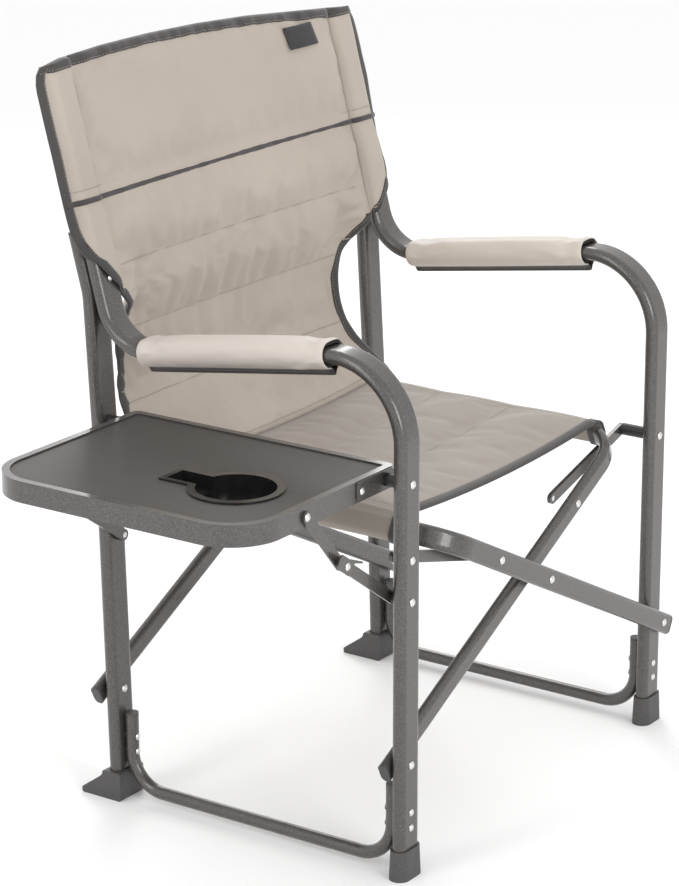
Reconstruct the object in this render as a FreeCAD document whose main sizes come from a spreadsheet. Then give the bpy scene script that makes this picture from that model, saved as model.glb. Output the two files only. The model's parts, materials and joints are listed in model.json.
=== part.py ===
"""Folding director's chair for camping, with padded arms and a folding side table.

Frame while designing: x = 0 is the middle of the chair, the sitter faces -Y, the floor is z = 0.
"right" and "left" are the sitter's: the side table is on the right, towards -X.
Two U-shaped cross tubes swing on the side frames.  Tube A starts at the right side frame and
carries the left edge of the seat; tube B starts at the left side frame and carries the right edge.
"""
import FreeCAD, Part
import math
import os
import re
import Sketcher

# Driving sizes in millimetres and degrees: alias, value, meaning.
SIZES = [
    ("shift_x", 119.695, "moves the middle of the whole box, table included, to x = 0"),
    ("shift_y", 24.441, "moves the middle of the whole box to y = 0"),
    ("half_span", 280, "middle of the chair to the middle of a side frame"),
    ("leg_width", 38, "side frame tube across its flats' width, along X"),
    ("leg_depth", 17, "side frame tube, flat to flat"),
    ("cross_width", 26, "cross tube, wide way"),
    ("cross_depth", 13, "cross tube, flat to flat"),
    ("tube_wall", 1.0, "wall of every tube"),
    ("foot_floor", 6, "rubber under the leg ends"),
    ("front_leg_y", -258, "middle of the front legs"),
    ("arm_corner_z", 619.9, "height where the arm's line meets the front leg's line"),
    ("arm_slope", 8.5, "fall of the arm towards the back, degrees"),
    ("front_bend", 90, "bend from front leg to arm, middle of the tube"),
    ("rear_corner_y", 140.6, "where the arm's line meets the upright's line"),
    ("rear_bend", 60, "bend from arm to back upright"),
    ("back_lean", 15, "back uprights lean back from vertical, degrees"),
    ("upright_length", 318, "from the rear corner to the tube's top end"),
    ("rear_foot_y", 150.3, "middle of the rear leg at its low end"),
    ("rear_knee_y", 160, "middle of the rear leg at its lower bend"),
    ("rear_knee_z", 340, "height of that bend"),
    ("rear_stack", 18, "upright to the rear leg behind it, middle to middle"),
    ("rear_join_z", 625, "height where the rear leg starts to follow the upright"),
    ("rear_top_z", 694, "top of the rear leg"),
    ("pivot_height", 138, "low pivots of the cross tubes"),
    ("cross_height", 280, "pivot where the cross tubes meet"),
    ("link_height", 383.28, "pivots of the links on the legs"),
    ("link_reach", 126.7, "crossing pivot to the link's pivot, along a cross tube"),
    ("rail_reach", 248.85, "crossing pivot to the seat rail, along a cross tube"),
    ("end_overhang", 18, "cross tube past its low pivot"),
    ("cross_bend", 50, "corner bends of the cross tubes"),
    ("a_front_y", -242, "tube A's front leg, behind the front legs"),
    ("a_rear_y", 173.2, "tube A's rear leg, behind the rear legs"),
    ("b_front_y", -274, "tube B's front leg, before the front legs"),
    ("b_rear_y", 137.7, "tube B's rear leg, before the rear legs"),
    ("link_width", 14, "flat links"),
    ("link_step", 22, "front links behind the cross tubes, clear of their corner bends"),
    ("link_thick", 5, "flat links"),
    ("pin_radius", 3.4, "pivot pins"),
    ("pin_clearance", 0.06, "radial clearance round every pin"),
    ("head_radius", 4.9, "domed heads of the pivot pins"),
    ("small_radius", 2.6, "rivets"),
    ("small_head", 4.2, "domed heads of the rivets"),
    ("head_latitude", 40, "sphere latitude where a dome starts, degrees"),
    ("bush_radius", 7.5, "spacer bushes"),
    ("rail_tube", 16, "lower side rail, a round tube"),
    ("rail_front_y", -241.2, "lower side rail's front end"),
    ("rail_rear_y", 135.0, "lower side rail's rear end"),
    ("rail_top_z", 107, "top of the lower rail's ends"),
    ("rail_run_z", 15, "middle of the lower rail's low run"),
    ("rail_bend", 45, "bends of the lower rail"),
    ("rail_rivet_low", 61, "lower rivet of each rail end"),
    ("rail_rivet_high", 80, "upper rivet of each rail end"),
    ("stack_rivet_low", 645, "lower rivet of upright and rear leg"),
    ("stack_rivet_high", 676, "upper rivet of upright and rear leg"),
    ("plug_stub", 11, "stub of a tube's end cap"),
    ("foot_height", 36, "plastic feet"),
    ("foot_width", 46, "plastic feet along X"),
    ("foot_depth", 25, "front feet along Y"),
    ("heel_length", 46, "rear foot behind the middle of its leg"),
    ("sleeve_front", -158, "front end of the arm pads, y on the slope"),
    ("sleeve_length", 258, "arm pads"),
    ("foam_width", 42.2, "arm foam"),
    ("foam_height", 29, "arm foam"),
    ("cover_width", 44.6, "arm cover"),
    ("cover_height", 32, "arm cover"),
    ("table_inner", -262, "side table's edge at the chair"),
    ("table_outer", -544, "side table's outer edge"),
    ("table_front", -231, "side table's front edge"),
    ("table_back", 133, "side table's back edge"),
    ("table_top", 485, "top of the side table's rim"),
    ("apron_height", 25, "side table's rim"),
    ("apron_wall", 2, "sheet of the rim"),
    ("lip_width", 9, "border round the table's panel"),
    ("lip_thick", 2, "border round the table's panel"),
    ("panel_thick", 5, "side table's panel"),
    ("corner_outer", 62, "outer corners of the side table"),
    ("corner_inner", 9, "inner corners of the side table"),
    ("hinge_height", 472, "side table's hinge"),
    ("cup_x", -428, "cup well"),
    ("cup_y", -134, "cup well"),
    ("cup_radius", 45, "cup well, inside"),
    ("cup_wall", 2, "cup well"),
    ("cup_depth", 29, "cup well, flange top to floor"),
    ("flange_width", 9, "cup well's flange"),
    ("slot_width", 30, "handle slot beside the cup well"),
    ("slot_end", -50, "handle slot's far end, y"),
    ("slot_depth", 17, "handle slot"),
    ("strap_x", -436, "brace's pivot on the table"),
    ("strap_z", 472, "brace's pivot on the table"),
    ("brace_height", 334, "brace's pivot on the leg"),
    ("upper_length", 95.93, "brace's upper link"),
    ("lower_length", 113.925, "brace's lower link"),
    ("brace_air", 0.5, "air between the table and its brace links"),
    ("knee_step", 6.6, "lower brace link outside the upper one"),
    ("brace_width", 13.5, "brace links"),
    ("brace_thick", 3, "brace links"),
    ("catch_thick", 2, "catch at the brace's knee"),
    ("sleeve_wall", 1.2, "seat sleeves' cloth and padding"),
    ("seat_top", 409, "seat panel's edge"),
    ("seat_sag", 9, "seat panel's sag"),
    ("knee_round", 900, "slight bend of the rear leg at its knee"),
    ("join_round", 90, "bend of the rear leg where it meets the upright"),
    ("sag_round", 1500, "curve of the sagging seat panel"),
    ("seat_thick", 11, "seat panel"),
    ("seat_half", 203, "seat panel's half width"),
    ("seat_front", -208, "seat panel's front edge"),
    ("seat_back", 116, "seat panel's back edge"),
    ("back_thick", 14, "back panel"),
    ("back_half", 256, "back panel's half width at the top"),
    ("pocket_start", 149, "back pockets' low end, from the rear corner"),
    ("pocket_width", 46, "back pockets over the uprights, along X"),
    ("pocket_depth", 25, "back pockets over the uprights"),
    ("back_knee_z", 655, "height where the back panel stops leaning and hangs"),
    ("back_knee_y", 168, "middle of the back panel at that height"),
    ("back_low_z", 411, "back panel's low edge"),
    ("back_low_y", 123, "middle of the back panel at its low edge"),
    ("back_bend_z", 490, "height where the hanging panel turns forward"),
    ("back_belly_y", 184, "middle of the back panel where it bellies backwards"),
    ("back_belly_z", 555, "top of that belly"),
    ("back_waist", 220, "back panel's half width at the waist"),
    ("back_waist_z", 525, "height of the waist"),
    ("back_foot", 240, "back panel's half width at its low edge"),
    ("back_round", 40, "rounding of the back panel's outline"),
    ("cap_thick", 3, "heads of the end caps"),
    ("foot_draft", 3, "feet are narrower at the top by"),
    ("foot_round", 2.5, "rounded edges of the rear feet"),
    ("heel_tip", 7, "height of the rear foot's tip"),
    ("heel_saddle", 9, "hollow of the rear foot's slope"),
    ("bracket_reach", 60, "hinge bracket, from the hinge outwards"),
    ("bracket_nose", 12, "hinge bracket, from the hinge inwards"),
    ("bracket_rivet", 50, "hinge bracket's rivet, from the hinge"),
    ("bracket_thick", 1.6, "hinge bracket"),
    ("bracket_round", 5, "corners of the hinge bracket"),
    ("tongue_border", 6, "flange round the handle slot"),
    ("right_rear_air", 3.5, "right rear link behind tube B"),
    ("left_rear_air", 1.3, "left rear link behind tube A"),
    ("gap", 0.3, "air between parts of different bodies"),
]
ALIASES = {alias for alias, _value, _meaning in SIZES}

doc = FreeCAD.newDocument("FoldingCampChair")
sheet = doc.addObject("Spreadsheet::Sheet", "Sizes")
for row, (alias, value, meaning) in enumerate(SIZES, start=1):
    sheet.set(f"A{row}", meaning)
    sheet.set(f"B{row}", str(value))
    sheet.setAlias(f"B{row}", alias)
doc.recompute()

# Formulas that several parts share.
TILT = "atan2(cross_height - pivot_height; half_span)"
PIVOT_REACH = "sqrt(half_span^2 + (cross_height - pivot_height)^2)"
REAR_CORNER_Z = "(arm_corner_z - (rear_corner_y - front_leg_y) * tan(arm_slope))"
FRONT_FACE = "(front_leg_y - leg_depth / 2)"
FRONT_BACK = "(front_leg_y + leg_depth / 2)"
HOLE = "(pin_radius + pin_clearance)"
SMALL_HOLE = "(small_radius + pin_clearance)"
STUD_X = f"(link_reach * cos({TILT}))"
STUD_Z = f"(cross_height + link_reach * sin({TILT}))"
UP = {"right": "-half_span", "left": "half_span"}
X_AXIS = FreeCAD.Vector(1, 0, 0)
Y_AXIS = FreeCAD.Vector(0, 1, 0)
Z_AXIS = FreeCAD.Vector(0, 0, 1)
parts = []


def formula(text):
    """Turns a formula in plain aliases into one that FreeCAD's expressions read."""
    def name(match):
        word = match.group()
        return "Sizes." + word if word in ALIASES else word
    return re.sub(r"[a-z][a-z_]*", name, str(text))


def number(text):
    """Value of a formula."""
    result = sheet.evalExpression(formula(text))
    return float(getattr(result, "Value", result))


def place(obj, x="0", y="0", z="0", tilt=None, lean=None):
    """Puts an object in the shared frame.  tilt raises its X axis; lean lays its Z axis back."""
    if tilt is not None:
        obj.Placement = FreeCAD.Placement(FreeCAD.Vector(), FreeCAD.Rotation(-Y_AXIS, number(tilt)))
        obj.setExpression(".Placement.Rotation.Angle", formula(tilt))
    if lean is not None:
        obj.Placement = FreeCAD.Placement(FreeCAD.Vector(), FreeCAD.Rotation(-X_AXIS, number(lean)))
        obj.setExpression(".Placement.Rotation.Angle", formula(lean))
    obj.setExpression(".Placement.Base.x", formula(f"shift_x + ({x})"))
    obj.setExpression(".Placement.Base.y", formula(f"shift_y + ({y})"))
    obj.setExpression(".Placement.Base.z", formula(z))


def body(name, register=True, **where):
    """A new sub-part made of features."""
    made = doc.addObject("PartDesign::Body", name)
    made.Label = name
    place(made, **where)
    if register:
        parts.append(made)
    return made


def sketch_on(owner, role, offset="0"):
    """A sketch on one of a body's own origin planes, moved along that plane's normal."""
    sketch = owner.newObject("Sketcher::SketchObject", "Sketch")
    plane = [item for item in owner.Origin.OriginFeatures if item.Role == role][0]
    sketch.AttachmentSupport = (plane, [""])
    sketch.MapMode = "FlatFace"
    sketch.setExpression(".AttachmentOffset.Base.z", formula(offset))
    return sketch


def bind(sketch, kind, *fields):
    """Adds a dimension whose last field is a formula, and binds it to the sheet."""
    index = sketch.addConstraint(Sketcher.Constraint(kind, *fields[:-1], number(fields[-1])))
    sketch.setExpression(f"Constraints[{index}]", formula(fields[-1]))


def pin_point(sketch, geometry, spot, u, v):
    """Fixes a point of a sketch by its two distances from the origin."""
    bind(sketch, "DistanceX", -1, 1, geometry, spot, u)
    bind(sketch, "DistanceY", -1, 1, geometry, spot, v)


def circle(sketch, u, v, radius):
    """A dimensioned circle."""
    centre = FreeCAD.Vector(number(u), number(v), 0)
    index = sketch.addGeometry(Part.Circle(centre, Z_AXIS, number(radius)))
    pin_point(sketch, index, 3, u, v)
    bind(sketch, "Radius", index, radius)


def obround(sketch, span_u, span_v, u="0", v="0"):
    """A slot shape: two half circles joined by two straight sides."""
    wide = number(span_u) > number(span_v)
    radius = f"({span_v if wide else span_u}) / 2"
    run = f"(({span_u}) - ({span_v})) / 2" if wide else f"(({span_v}) - ({span_u})) / 2"
    first = (f"({u}) + {run}", v) if wide else (u, f"({v}) + {run}")
    second = (f"({u}) - {run}", v) if wide else (u, f"({v}) - {run}")
    turn = -math.pi / 2 if wide else 0.0
    arcs = []
    for (cu, cv), begin in ((first, turn), (second, turn + math.pi)):
        ring = Part.Circle(FreeCAD.Vector(number(cu), number(cv), 0), Z_AXIS, number(radius))
        arcs.append(sketch.addGeometry(Part.ArcOfCircle(ring, begin, begin + math.pi)))
        pin_point(sketch, arcs[-1], 3, cu, cv)
        bind(sketch, "Radius", arcs[-1], radius)
    for start, stop in (arcs, arcs[::-1]):
        ends = sketch.getPoint(start, 2), sketch.getPoint(stop, 1)
        side = sketch.addGeometry(Part.LineSegment(*ends))
        sketch.addConstraint(Sketcher.Constraint("Tangent", start, 2, side, 1))
        sketch.addConstraint(Sketcher.Constraint("Tangent", side, 2, stop, 1))


def outline(sketch, corners, closed=True):
    """Straight runs through corners (u, v) or (u, v, radius); a radius rounds its corner."""
    spots = [FreeCAD.Vector(number(c[0]), number(c[1]), 0) for c in corners]
    count = len(corners)
    entries, exits, arcs = list(spots), list(spots), [None] * count
    for i, corner in enumerate(corners):
        if len(corner) < 3:
            continue
        back = (spots[i - 1] - spots[i]).normalize()
        ahead = (spots[(i + 1) % count] - spots[i]).normalize()
        radius, half = number(corner[2]), back.getAngle(ahead) / 2
        entries[i] = spots[i] + back * (radius / math.tan(half))
        exits[i] = spots[i] + ahead * (radius / math.tan(half))
        centre = spots[i] + (back + ahead).normalize() * (radius / math.sin(half))
        left_turn = ahead.cross(back).z > 0
        rim = (entries[i], exits[i]) if left_turn else (exits[i], entries[i])
        angles = [math.atan2(p.y - centre.y, p.x - centre.x) for p in rim]
        if angles[1] < angles[0]:
            angles[1] += 2 * math.pi
        ring = Part.Circle(centre, Z_AXIS, radius)
        arcs[i] = (sketch.addGeometry(Part.ArcOfCircle(ring, *angles)), left_turn)
    runs = count if closed else count - 1
    sides = [sketch.addGeometry(Part.LineSegment(exits[i], entries[(i + 1) % count])) for i in range(runs)]
    for i, corner in enumerate(corners):
        before = sides[i - 1] if closed or i > 0 else None
        after = sides[i] if i < runs else None
        if arcs[i] is None:
            pin_point(sketch, *((after, 1) if after is not None else (before, 2)), corner[0], corner[1])
            if before is not None and after is not None:
                sketch.addConstraint(Sketcher.Constraint("Coincident", before, 2, after, 1))
            continue
        arc, left_turn = arcs[i]
        into, out = (1, 2) if left_turn else (2, 1)
        sketch.addConstraint(Sketcher.Constraint("Tangent", before, 2, arc, into))
        sketch.addConstraint(Sketcher.Constraint("Tangent", arc, out, after, 1))
        bind(sketch, "Radius", arc, corner[2])
        mark = sketch.addGeometry(Part.Point(spots[i]), True)
        pin_point(sketch, mark, 1, corner[0], corner[1])
        sketch.addConstraint(Sketcher.Constraint("PointOnObject", mark, 1, before))
        sketch.addConstraint(Sketcher.Constraint("PointOnObject", mark, 1, after))


def box_corners(u_low, v_low, u_high, v_high, *radius):
    """Corners of a rectangle, all with the same rounding."""
    return [(u_low, v_low, *radius), (u_high, v_low, *radius),
            (u_high, v_high, *radius), (u_low, v_high, *radius)]


def pad(owner, sketch, length, both_ways=False, reverse=False):
    """Thickens a sketch along its normal, or against it."""
    feature = owner.newObject("PartDesign::Pad", "Pad")
    feature.Profile = sketch
    feature.SideType = "Symmetric" if both_ways else "One side"
    feature.Reversed = reverse
    feature.setExpression("Length", formula(length))
    return feature


def pocket(owner, sketch, length, both_ways=False, reverse=False):
    """Cuts a sketch's shape out of the body."""
    feature = owner.newObject("PartDesign::Pocket", "Pocket")
    feature.Profile = sketch
    feature.SideType = "Symmetric" if both_ways else "One side"
    feature.Reversed = reverse
    feature.setExpression("Length", formula(length))
    return feature


def drill(owner, holes):
    """Round holes (u, w, radius) straight through the body along its own Y axis."""
    sketch = sketch_on(owner, "XZ_Plane")
    for u, w, radius in holes:
        circle(sketch, u, w, radius)
    pocket(owner, sketch, "2 * (rear_stack + half_span) + leg_width", both_ways=True)


def tube(name, corners, width, depth, holes, **where):
    """A hollow tube of flat-sided section bent through corners in its body's XY plane."""
    made = body(name, **where)
    path = sketch_on(made, "XY_Plane")
    outline(path, corners, closed=False)
    section = sketch_on(made, "YZ_Plane", corners[0][0])
    for wall in ("0", "2 * tube_wall"):
        span_u, span_v = f"{depth} - {wall}", f"{width} - {wall}"
        if width == depth:
            circle(section, corners[0][1], "0", f"({span_u}) / 2")
        else:
            obround(section, span_u, span_v, corners[0][1])
    bends = sum(1 for corner in corners if len(corner) == 3)
    sweep = made.newObject("PartDesign::AdditivePipe", "Sweep")
    sweep.Profile = section
    sweep.Spine = (path, [f"Edge{i + 1}" for i in range(len(corners) - 1 + bends)])
    drill(made, holes)
    return made


def rear_leg_y(z):
    """Middle of the rear leg at a height between its foot and its lower bend, or up to the join."""
    upper = f"({upright_y('rear_join_z')} + rear_stack)"
    low = f"(rear_foot_y + (rear_knee_y - rear_foot_y) * ({z} - foot_floor) / (rear_knee_z - foot_floor))"
    high = f"(rear_knee_y + ({upper} - rear_knee_y) * ({z} - rear_knee_z) / (rear_join_z - rear_knee_z))"
    return low if number(z) < number("rear_knee_z") else high


def upright_y(z):
    """Middle of the back upright at a height above its bend."""
    return f"(rear_corner_y + ({z} - {REAR_CORNER_Z}) * tan(back_lean))"


def cylinder(x, y_low, y_high, z, radius):
    """A round bar along Y."""
    bar = doc.addObject("Part::Cylinder", "Bar")
    bar.setExpression("Radius", formula(radius))
    bar.setExpression("Height", formula(f"({y_high}) - ({y_low})"))
    bar.Placement = FreeCAD.Placement(FreeCAD.Vector(), FreeCAD.Rotation(-X_AXIS, 90))
    for axis, value in zip("xyz", (x, y_low, z)):
        bar.setExpression(f".Placement.Base.{axis}", formula(value))
    return bar


def dome(x, y_face, z, radius, towards_back):
    """A domed head standing on a face, pointing to -Y or +Y."""
    cap = doc.addObject("Part::Sphere", "Dome")
    sink = f"({radius}) * tan(head_latitude)"
    cap.setExpression("Radius", formula(f"({radius}) / cos(head_latitude)"))
    cap.setExpression("Angle1", formula("head_latitude"))
    turn = FreeCAD.Rotation(-X_AXIS, 90 if towards_back else -90)
    cap.Placement = FreeCAD.Placement(FreeCAD.Vector(), turn)
    middle = f"({y_face}) {'-' if towards_back else '+'} {sink}"
    for axis, value in zip("xyz", (x, middle, z)):
        cap.setExpression(f".Placement.Base.{axis}", formula(value))
    return cap


def rivet(x, y_low, y_high, z, shank, head, heads="both"):
    """A shank along Y with a domed head at its front end, its back end or both."""
    pieces = [cylinder(x, y_low, y_high, z, shank)]
    if heads in ("both", "front"):
        pieces.append(dome(x, y_low, z, head, False))
    if heads in ("both", "back"):
        pieces.append(dome(x, y_high, z, head, True))
    joined = doc.addObject("Part::MultiFuse", "Rivet")
    joined.Shapes = pieces
    return joined


def bush(x, y_low, y_high, z):
    """A spacer bush round a pivot pin."""
    ring = doc.addObject("Part::Cut", "Bush")
    ring.Base = cylinder(x, y_low, y_high, z, "bush_radius")
    ring.Tool = cylinder(x, y_low, y_high, z, HOLE)
    return ring


def group(name, members):
    """Like pieces that share one node, each still a solid of its own."""
    made = doc.addObject("Part::Compound", name)
    made.Label = name
    made.Links = members
    place(made)
    parts.append(made)


def pin(x, y_low, y_high, z, heads="both"):
    """A pivot pin."""
    return rivet(x, y_low, y_high, z, "pin_radius", "head_radius", heads)


def small_rivet(x, y_low, y_high, z):
    """A rivet that doesn't turn."""
    return rivet(x, y_low, y_high, z, "small_radius", "small_head")


def plug(width, depth, head_height, **where):
    """A cap for a tube's end: a stub in the bore and a head over the end."""
    made = body("Plug", register=False, **where)
    clearance = "2 * tube_wall + 2 * gap"
    for shrink, height, down in (("0", head_height, False), (clearance, "plug_stub", True)):
        shape = sketch_on(made, "XY_Plane")
        obround(shape, f"{width} - ({shrink})", f"{depth} - ({shrink})")
        pad(made, shape, height, reverse=down)
    return made


# --- side frames ---------------------------------------------------------------------------------
def side_frame(side):
    """The bent frame tube, the rear leg behind it and the low rail that joins the two feet."""
    x = UP[side]
    leg_holes = [("pivot_height", "0", HOLE), ("link_height", "0", HOLE),
                 ("rail_rivet_low", "0", SMALL_HOLE), ("rail_rivet_high", "0", SMALL_HOLE),
                 ("stack_rivet_low", "0", SMALL_HOLE), ("stack_rivet_high", "0", SMALL_HOLE)]
    if side == "right":
        leg_holes += [("hinge_height", "0", HOLE), ("brace_height", "0", HOLE)]
    top_z = f"({REAR_CORNER_Z} + upright_length * cos(back_lean))"
    tube(f"{side}_frame_tube",
         [("foot_floor + gap", "front_leg_y"), ("arm_corner_z", "front_leg_y", "front_bend"),
          (REAR_CORNER_Z, "rear_corner_y", "rear_bend"), (top_z, upright_y(top_z))],
         "leg_width", "leg_depth", leg_holes, x=x, tilt="90")
    rear_top = f"({upright_y('rear_top_z')} + rear_stack)"
    tube(f"{side}_rear_leg",
         [("foot_floor + gap", "rear_foot_y"), ("rear_knee_z", "rear_knee_y", "knee_round"),
          ("rear_join_z", f"{upright_y('rear_join_z')} + rear_stack", "join_round"),
          ("rear_top_z", rear_top)],
         "leg_width", "leg_depth", leg_holes, x=x, tilt="90")
    rail_holes = [("rail_rivet_low", "0", SMALL_HOLE), ("rail_rivet_high", "0", SMALL_HOLE)]
    tube(f"{side}_lower_rail",
         [("rail_top_z", "rail_front_y"), ("rail_run_z", "rail_front_y", "rail_bend"),
          ("rail_run_z", "rail_rear_y", "rail_bend"), ("rail_top_z", "rail_rear_y")],
         "rail_tube", "rail_tube", rail_holes, x=x, tilt="90")


def side_fasteners(side):
    """Rivets that hold a side frame together."""
    x = UP[side]
    rail_front = "rail_front_y + rail_tube / 2 + gap"
    rail_rear = "rail_rear_y - rail_tube / 2 - gap"
    slant = "leg_depth / 2 / cos(back_lean) + small_head * tan(back_lean) + gap"
    rail_heights = ("rail_rivet_low", "rail_rivet_high")
    fronts = [small_rivet(x, f"{FRONT_FACE} - gap", rail_front, z) for z in rail_heights]
    rears = [small_rivet(x, rail_rear, f"{rear_leg_y(z)} + leg_depth / 2 + 2 * gap", z)
             for z in rail_heights]
    stack = [small_rivet(x, f"{upright_y(z)} - ({slant})", f"{upright_y(z)} + rear_stack + {slant}", z)
             for z in ("stack_rivet_low", "stack_rivet_high")]
    group(f"{side}_frame_rivets", fronts + rears + stack)


def side_plastics(side):
    """Feet and end caps."""
    x = UP[side]
    socket = ("leg_width + 2 * gap", "leg_depth + 2 * gap")
    foot = body(f"{side}_front_foot", x=x, y="front_leg_y")
    sole = sketch_on(foot, "XY_Plane")
    obround(sole, "foot_width", "foot_depth")
    mouth = sketch_on(foot, "XY_Plane", "foot_height")
    obround(mouth, "foot_width - foot_draft", "foot_depth - foot_draft")
    loft = foot.newObject("PartDesign::AdditiveLoft", "Loft")
    loft.Profile = sole
    loft.Sections = [mouth]
    hollow = sketch_on(foot, "XY_Plane", "foot_height")
    obround(hollow, *socket)
    pocket(foot, hollow, "foot_height - foot_floor")

    heel = body(f"{side}_rear_foot", x=x, y="rear_foot_y")
    profile = sketch_on(heel, "YZ_Plane")
    shoulder = "foot_depth / 2"
    outline(profile, [(f"-{shoulder}", "0", "foot_round"), ("heel_length", "0", "foot_round"),
                      ("heel_length", "heel_tip", "foot_round"),
                      (f"{shoulder} + foot_draft", "foot_height - heel_tip", "heel_saddle"),
                      (f"{shoulder} + foot_draft / 3", "foot_height", "foot_round"),
                      (f"-{shoulder}", "foot_height", "foot_round")])
    pad(heel, profile, "foot_width", both_ways=True)
    well = sketch_on(heel, "XY_Plane", "foot_height")
    obround(well, "leg_width + 2 * gap", "leg_depth + 5 * gap", "0", "2 * gap")
    pocket(heel, well, "foot_height - foot_floor")

    tops = ((f"({REAR_CORNER_Z} + upright_length * cos(back_lean))", "0"), ("rear_top_z", "rear_stack"))
    group(f"{side}_top_caps", [
        plug("leg_width", "leg_depth", "cap_thick", x=f"{x} - shift_x",
             y=f"{upright_y(z)} + {behind} - shift_y", z=f"{z} + gap", lean="back_lean")
        for z, behind in tops])
    stoppers = []
    for y in ("rail_front_y", "rail_rear_y"):
        made = body("RailPlug", register=False, x=f"{x} - shift_x", y=f"{y} - shift_y",
                    z="rail_top_z + gap / 2")
        for radius, reach, down in (("rail_tube / 2", "cap_thick", False),
                                    ("rail_tube / 2 - tube_wall - gap", "plug_stub", True)):
            face = sketch_on(made, "XY_Plane")
            circle(face, "0", "0", radius)
            pad(made, face, reach, reverse=down)
        stoppers.append(made)
    group(f"{side}_rail_plugs", stoppers)


def arm_pad(side):
    """Foam round the arm tube and the sewn cover round the foam."""
    start = {"x": UP[side], "y": "sleeve_front", "lean": "arm_slope",
             "z": "arm_corner_z - (sleeve_front - front_leg_y) * tan(arm_slope)"}
    layers = (("arm_foam", "foam_width", "foam_height", "leg_width + 3 * gap", "leg_depth + 10 * gap"),
              ("arm_cover", "cover_width", "cover_height", "foam_width + 2 * gap", "foam_height + 2 * gap"))
    for name, width, height, bore_width, bore_height in layers:
        made = body(f"{side}_{name}", **start)
        ring = sketch_on(made, "XZ_Plane")
        obround(ring, width, height)
        obround(ring, bore_width, bore_height)
        pad(made, ring, "sleeve_length", reverse=True)


# --- cross tubes, links and their pivots ----------------------------------------------------------
def cross_tube(letter, tilt):
    """A U-shaped tube: a front leg and a rear leg joined by the seat rail."""
    front, rear = f"{letter}_front_y", f"{letter}_rear_y"
    low = f"-({PIVOT_REACH}) - end_overhang"
    frame = {"z": "cross_height", "tilt": tilt}
    tube(f"cross_tube_{letter}",
         [(low, front), ("rail_reach", front, "cross_bend"),
          ("rail_reach", rear, "cross_bend"), (low, rear)],
         "cross_width", "cross_depth",
         [(f"-({PIVOT_REACH})", "0", HOLE), ("0", "0", HOLE), ("link_reach", "0", HOLE)], **frame)
    ends = []
    for y in (front, rear):
        made = body("CrossPlug", register=False, x="-shift_x", y=f"{y} - shift_y",
                    z="cross_height", tilt=tilt)
        bore_play = "2 * tube_wall + 2 * gap"
        for reach, shrink, towards in (("cap_thick", "0", True), ("plug_stub", bore_play, False)):
            face = sketch_on(made, "YZ_Plane", f"{low} - gap / 2")
            obround(face, f"cross_depth - ({shrink})", f"cross_width - ({shrink})")
            pad(made, face, reach, reverse=towards)
        ends.append(made)
    group(f"cross_plugs_{letter}", ends)


def link(name, side, y_low):
    """A flat link from a cross tube's stud to the side frame's leg."""
    length = f"sqrt((half_span - {STUD_X})^2 + (link_height - {STUD_Z})^2)"
    rise = f"atan2(link_height - {STUD_Z}; half_span - {STUD_X})"
    made = body(name, x=STUD_X if side == "left" else f"-{STUD_X}", y=y_low, z=STUD_Z,
                tilt=rise if side == "left" else f"180 deg - {rise}")
    bar = sketch_on(made, "XZ_Plane")
    obround(bar, f"{length} + link_width", "link_width", f"{length} / 2")
    circle(bar, "0", "0", HOLE)
    circle(bar, length, "0", HOLE)
    pad(made, bar, "link_thick", reverse=True)


# Where the layers lie along Y.
A_FRONT = ("(a_front_y - cross_depth / 2)", "(a_front_y + cross_depth / 2)")
A_REAR = ("(a_rear_y - cross_depth / 2)", "(a_rear_y + cross_depth / 2)")
B_FRONT = ("(b_front_y - cross_depth / 2)", "(b_front_y + cross_depth / 2)")
B_REAR = ("(b_rear_y - cross_depth / 2)", "(b_rear_y + cross_depth / 2)")


def rear_faces(z):
    """Front and back face of the rear leg at a height."""
    return f"({rear_leg_y(z)} - leg_depth / 2)", f"({rear_leg_y(z)} + leg_depth / 2)"


LINK_Y = {("right", "front"): f"({FRONT_BACK} + link_step / 4)",
          ("right", "rear"): f"({B_REAR[1]} + right_rear_air)",
          ("left", "front"): f"({A_FRONT[1]} + link_step)",
          ("left", "rear"): f"({A_REAR[1]} + left_rear_air)"}


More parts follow.
